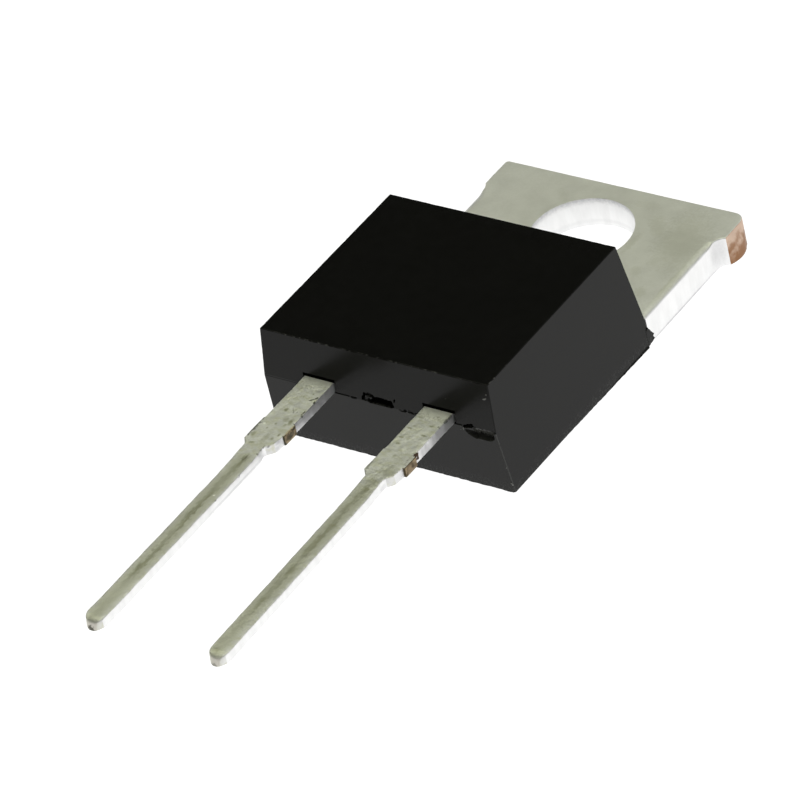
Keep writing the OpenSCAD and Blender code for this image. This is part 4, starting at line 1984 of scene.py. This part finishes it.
    def _press_relief(self, bench: MeshBench, box: tuple[float, float, float, float],
                      depth: Callable[[float, float], float]) -> None:
        """Presses a relief into a part of the front, on a fine grid.

        Args:
            bench: Bench with the block.
            box: Left, right, low and high limit of the part.
            depth: Depth at a place across and a height.
        """
        left, right, low, high = box
        near = bench.faces(
            lambda c, n: n.y < self.FORWARD and abs(c.y - self._front_y(c.z)) < 2.0 * self.groove_d)
        columns = bench.slice(bench.window(near, *box), AXIS_X, self.relief_step)
        grid = bench.slice(columns, AXIS_Z, self.relief_step)
        for vert in {v for f in grid for v in f.verts}:
            inside = left + TINY < vert.co.x < right - TINY and low + TINY < vert.co.z < high - TINY
            if inside:
                vert.co.y = self._front_y(vert.co.z) + depth(vert.co.x, vert.co.z)

    def _slot_depth(self, across: float, z: float) -> float:
        """Depth of the blanked slot between the leads and the chips about it."""
        return max(hollow.at(across, z) for hollow in self.SLOT)

    def _gate_depth(self, across: float, z: float) -> float:
        """Depth of the broken gate's crescent scar.

        Args:
            across: Place across the front.
            z: Height.

        Returns:
            The depth.
        """
        hole = max(hollow.at(across, z) for hollow in self.GATE_HOLE)
        ragged = self.gate_ragged * noise.noise(Vector((across, 0.0, z)) / self.gate_wave)
        rim = self.part_z
        for (x_0, z_0), (x_1, z_1) in zip(self.GATE_RIM, self.GATE_RIM[1:]):
            if x_0 <= across < x_1:
                rim = z_0 + (z_1 - z_0) * (across - x_0) / (x_1 - x_0)
        top = self.part_z + (self.gate_lip if across > self.gate_lip_from else -self.gate_web)
        if not rim + ragged < z < top:
            return hole
        share = (z - rim) / (top - rim)
        ramp = smooth_step(0.0, self.gate_ramp, z - rim)
        return max(hole, ramp * (self.gate_d * (1.0 - self.gate_slope * share) + ragged))

    def _scatter_crumbs(self, bench: MeshBench) -> None:
        """Sets pale crumbs of broken compound on the front, by the gate and on its corner.

        Args:
            bench: Bench with the finished moulding.
        """
        layer = bench.bm.faces.layers.float[Trace.WORN.value]
        for across, z, size in self.crumbs:
            place = Vector((across, self._front_y(z), z))
            made = bmesh.ops.create_icosphere(
                bench.bm, subdivisions=2, radius=size, matrix=Matrix.Translation(place))["verts"]
            bench.ruffle(made, size * self.crumb_rough, size)
            for face in {f for v in made for f in v.link_faces}:
                face[layer] = self.CRUMB

    def _recess_pad(self, bench: MeshBench) -> None:
        """Opens the back so that the pad's bare face shows, flush with the moulding.

        Args:
            bench: Bench with the block.
        """
        half = self.tab.back_w / 2.0 + self.pad_gap
        far = -self.tab.pad_end - self.pad_gap
        near = -self.back - self.pad_gap
        base = bench.faces(lambda c, n: n.z < self.DOWN and c.z < self.skirt_h)
        cells = bench.cut(base, planes_at(AXIS_X, -half, half) + planes_at(AXIS_Y, far, near))
        seat = [f for f in cells if abs(centre_of(f).x) < half and far < centre_of(f).y < near]
        bench.extrude(seat, AXIS_Z * self.pad_recess)

    def _wear_edges(self, bench: MeshBench) -> None:
        """Chips and wavers the rounded edges.

        Args:
            bench: Bench with the block.
        """
        for axis in (AXIS_X, AXIS_Y, AXIS_Z):
            strips = []
            for face in bench.bm.faces:
                places = [v.co.dot(axis) for v in face.verts]
                if face.smooth and max(places) - min(places) > self.LONG:
                    strips.append(face)
            bench.slice(strips, axis, self.wear_step)
        inner = [v for v in bench.bm.verts if all(f.smooth for f in v.link_faces)]
        bench.bm.normal_update()
        for vert in inner:
            fine, broad = noise.noise(vert.co / self.chip_fine), noise.noise(vert.co / self.chip_broad)
            chip = max(0.0, fine + self.chip_mix * broad - self.chip_from) * self.edge_chip
            vert.co -= vert.normal * (chip + self.edge_waver * fine)

    def _rag_skirt(self, bench: MeshBench) -> None:
        """Gives the bottom edge the slight ragged flash of the closed mould.

        Args:
            bench: Bench with the block.
        """
        walls = bench.faces(lambda c, n: abs(n.z) < self.STEEP and c.z < self.height)
        outer = [
            f for f in walls
            if min(v.co.z for v in f.verts) < self.sunk + TINY and self._is_outer(centre_of(f))]
        cells = bench.cut(outer, planes_at(AXIS_Z, self.skirt_h))
        skirt = [f for f in cells if centre_of(f).z < self.skirt_h]
        across = [f for f in skirt if abs(f.normal.y) > abs(f.normal.x)]
        bench.slice(across, AXIS_X, self.skirt_step)
        bench.slice([f for f in skirt if f not in across], AXIS_Y, self.skirt_step)
        hem = [
            v for v in bench.bm.verts
            if abs(v.co.z - self.sunk) < TINY and self._is_outer(v.co)
            and v.co.y < -self.back - self.hem_stop]
        bench.bm.normal_update()
        for vert in hem:
            out = Vector((vert.normal.x, vert.normal.y, 0.0))
            vert.co += out * self.skirt_ragged * noise.noise(vert.co / self.skirt_wave)
            if vert.co.x > self.shift + self.half_w - self.splay_side:
                vert.co.x += self.splay * (vert.co.y + self.splay_about)

    def _is_outer(self, point: Vector) -> bool:
        """Tells whether a point near the base is on the outside of the block."""
        near_side = abs(point.x - self.shift) > self.half_w - self.skirt_side
        return near_side or point.y > -self.back - TINY or point.y < -self.front + self.skirt_front

    def _draw_flash(self, bench: MeshBench, side: Side) -> None:
        """Draws the thin tongue of flash that creeps along the edge of the tab.

        Args:
            bench: Bench with the block.
            side: Edge of the tab.
        """
        way = side.value
        inner = way * (self.tab.edge(side) - self.flash_sunk)
        reach, rise = self.flash_reach[side], self.tab.tab_t
        start = -self.back - self.flash_lap
        root_high, root_low = self.FLASH_ROOT
        pen = OutlinePen(bench, Vector((inner, start, rise * root_high)))
        pen.line_to(*(Vector((inner, -self.back + reach * out, rise * up)) for out, up in self.FLASH_LINE))
        pen.line_to(Vector((inner, start, rise * root_low)))
        sheet = pen.fill()
        limit = -self.back - self.flash_free
        bench.split_long([e for e in sheet.edges if any(v.co.y > limit for v in e.verts)], self.flash_step)
        for vert in sheet.verts:
            if vert.co.y > -self.back + TINY:
                vert.co.y += self.flash_ragged * noise.noise(vert.co / self.flash_wave)
        outer = bench.thicken([sheet], AXIS_X * way)
        for vert in {v for f in outer for v in f.verts}:
            flush = self._wall(side, vert.co.z) + way * self.flash_proud
            proud = inner + way * (self.flash_t + self.flash_sunk)
            share = smooth_step(start, -self.back, vert.co.y)
            vert.co.x = flush + (proud - flush) * share


CHIP_FINISH = InnerFinish(
    "metallised_silicon", tone=(0.30, 0.32, 0.36), shade=(0.22, 0.24, 0.29), metallic=0.6, roughness=0.25,
    grain=0.05)
SOLDER_FINISH = InnerFinish(
    "soft_solder", tone=(0.52, 0.53, 0.53), shade=(0.40, 0.41, 0.42), metallic=1.0, roughness=0.42,
    grain=0.08)
WIRE_FINISH = InnerFinish(
    "drawn_aluminium", tone=(0.80, 0.81, 0.83), shade=(0.68, 0.69, 0.72), metallic=1.0, roughness=0.3,
    grain=0.03)


@dataclass(frozen=True)
class InnerPieces:
    """Chip, solder and bond wires, which stay as packed and only take a finish."""

    finishes: dict[str, InnerFinish] = field(default_factory=lambda: {
        "diode_chip": CHIP_FINISH,
        "chip_solder": SOLDER_FINISH,
        "bond_wire_left": WIRE_FINISH,
        "bond_wire_right": WIRE_FINISH,
    })

    def dress(self) -> None:
        """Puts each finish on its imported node."""
        made: dict[str, bpy.types.Material] = {}
        for node, finish in self.finishes.items():
            if finish.name not in made:
                made[finish.name] = finish.material()
            slots = frame["nodes"][node].data.materials
            slots.clear()
            slots.append(made[finish.name])
            LOG.info("%s: finish %s", node, finish.name)


@dataclass(frozen=True)
class SoftPanel:
    """Soft light panel that faces the part."""

    name: str
    azimuth: float
    elevation: float
    distance: float
    width: float
    height: float
    radiance: float
    colour: Colour = WHITE

    WATT_SHARE = 4.0

    def hang(self, target: Vector) -> None:
        """Hangs the panel so that it faces a point.

        Args:
            target: Point that it faces, in metres.
        """
        light = bpy.data.lights.new(self.name, "AREA")
        light.shape = "RECTANGLE"
        light.size, light.size_y = self.width, self.height
        light.energy = self.radiance * self.WATT_SHARE * self.width * self.height
        light.color = self.colour
        lamp = bpy.data.objects.new(self.name, light)
        away = direction(self.azimuth, self.elevation)
        lamp.location = target + away * self.distance
        lamp.rotation_euler = away.to_track_quat("Z", "Y").to_euler()
        bpy.context.scene.collection.objects.link(lamp)


def direction(azimuth: float, elevation: float) -> Vector:
    """Unit vector at an azimuth from +X and an elevation above the table, in degrees."""
    turn, lift = math.radians(azimuth), math.radians(elevation)
    return Vector((math.cos(turn) * math.cos(lift), math.sin(turn) * math.cos(lift), math.sin(lift)))


@dataclass(frozen=True)
class PhotoCamera:
    """Long lens that looks down on the leads from the right."""

    target: Vector = field(default_factory=lambda: Vector((-0.065, -11.42, 2.014)))
    azimuth: float = -47.565
    elevation: float = 36.221
    roll: float = math.radians(-14.003)
    distance: float = 213.5
    lens: float = 277.987
    sensor: float = 36.0
    near: float = 0.01

    def stand(self) -> None:
        """Stands the camera and makes it the scene's own."""
        camera = bpy.data.cameras.new("photo_camera")
        camera.lens, camera.sensor_width = self.lens, self.sensor
        camera.clip_start = self.near
        back = direction(self.azimuth, self.elevation)
        level = AXIS_Z.cross(back).normalized()
        upright = back.cross(level)
        right = level * math.cos(self.roll) + upright * math.sin(self.roll)
        up = back.cross(right)
        stand = bpy.data.objects.new("photo_camera", camera)
        turn = Matrix((right, up, back)).transposed().to_4x4()
        stand.matrix_world = Matrix.Translation((self.target + back * self.distance) * MM) @ turn
        bpy.context.scene.collection.objects.link(stand)
        bpy.context.scene.camera = stand


@dataclass(frozen=True)
class Studio:
    """Light table, soft panels, room light and camera."""

    camera: PhotoCamera = field(default_factory=PhotoCamera)
    table_half: float = 2.0
    table_gap: float = 0.02
    room: float = 0.03
    horizon: float = 1.0
    horizon_low: float = 8.0
    horizon_high: float = 21.0
    panels: tuple[SoftPanel, ...] = (
        SoftPanel(
            "back_panel", azimuth=132.0, elevation=75.0, distance=0.8, width=0.75, height=0.75,
            radiance=1.0, colour=PAPER_LIGHT),
        SoftPanel(
            "front_panel", azimuth=-105.0, elevation=82.0, distance=0.8, width=0.9, height=0.9,
            radiance=0.5, colour=PAPER_LIGHT),
        SoftPanel(
            "side_panel", azimuth=58.0, elevation=33.0, distance=0.8, width=0.7, height=0.4, radiance=0.6),
    )

    def build(self, finish: TableFinish) -> None:
        """Sets up the table, the lights and the camera.

        Args:
            finish: Finish of the table.
        """
        self._lay_table(finish)
        for panel in self.panels:
            panel.hang(self.camera.target * MM)
        self._light_room()
        bpy.context.scene.view_settings.view_transform = "Standard"
        self.camera.stand()
        LOG.info("studio: %d panels", len(self.panels))

    def _light_room(self) -> None:
        """Lights the room: a pale paper horizon round the table, and a dim room over it."""
        world = bpy.data.worlds.new("room_light")
        world.use_nodes = True
        tree = world.node_tree
        background = tree.nodes["Background"]
        background.inputs["Color"].default_value = (*WHITE, 1.0)
        way = tree.nodes.new("ShaderNodeTexCoord")
        split = tree.nodes.new("ShaderNodeSeparateXYZ")
        fade = tree.nodes.new("ShaderNodeMapRange")
        fade.interpolation_type = "SMOOTHSTEP"
        fade.inputs["From Min"].default_value = math.sin(math.radians(self.horizon_low))
        fade.inputs["From Max"].default_value = math.sin(math.radians(self.horizon_high))
        fade.inputs["To Min"].default_value = self.horizon
        fade.inputs["To Max"].default_value = self.room
        tree.links.new(way.outputs["Generated"], split.inputs["Vector"])
        tree.links.new(split.outputs["Z"], fade.inputs["Value"])
        tree.links.new(fade.outputs["Result"], background.inputs["Strength"])
        bpy.context.scene.world = world

    def _lay_table(self, finish: TableFinish) -> None:
        """Lays the table just under the part.

        Args:
            finish: Finish of the table.
        """
        bm = bmesh.new()
        bmesh.ops.create_grid(bm, x_segments=1, y_segments=1, size=self.table_half)
        bmesh.ops.translate(bm, vec=AXIS_Z * (-self.table_gap * MM), verts=bm.verts)
        mesh = bpy.data.meshes.new("light_table")
        bm.to_mesh(mesh)
        bm.free()
        mesh.materials.append(finish.material())
        table = bpy.data.objects.new("light_table", mesh)
        bpy.context.scene.collection.objects.link(table)


def main() -> None:
    """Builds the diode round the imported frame, piece by piece."""
    logging.basicConfig(level=logging.INFO, format="%(name)s: %(message)s")
    noise.seed_set(NOISE_SEED)
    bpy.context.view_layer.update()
    body_low, body_high = node_box("body")
    tab_low, tab_high = node_box("cathode_tab")
    anode_low, anode_high = node_box("anode_lead")
    cathode_lead = LeadShape(
        centre=-PITCH_HALF, front=-body_low.y, end=-tab_low.y, low=anode_low.z, high=anode_high.z,
        lean_near=-0.025, lean_far=0.02, marks=CATHODE_MARKS, flare=CATHODE_FLARE, pin_w=0.8)
    anode_lead = LeadShape(
        centre=PITCH_HALF, front=-body_low.y, end=-anode_low.y, low=anode_low.z, high=anode_high.z,
        lean_near=-0.035, lean_far=0.1, marks=ANODE_MARKS, trim=0.04, flare=ANODE_FLARE)
    cathode = CathodeStamping(
        "cathode_stamping", "tinned_copper", "cathode_tab", lead=cathode_lead, tab_end=tab_high.y,
        body_back=-body_high.y, hole_r=mount_size("tab_hole", "r_mm"),
        tab_t=mount_size("tab_hole", "length_mm"))
    anode = AnodeStamping(
        "anode_stamping", "tinned_copper", "anode_lead", lead=anode_lead, post_left=anode_low.x,
        post_back=anode_high.y)
    body = MouldedBody(
        "moulded_body", "moulding", "body", leads=(cathode_lead, anode_lead),
        half_w=(body_high.x - body_low.x) / 2.0, shift=(body_high.x + body_low.x) / 2.0,
        front=-body_low.y, back=-body_high.y, height=body_high.z, tab=cathode)
    body.build(MouldingFinish())
    cathode.build(TinFinish())
    anode.build(TinFinish(reflection_share=0.8))
    InnerPieces().dress()
    Studio().build(TableFinish())


if __name__ == "__main__":
    main()
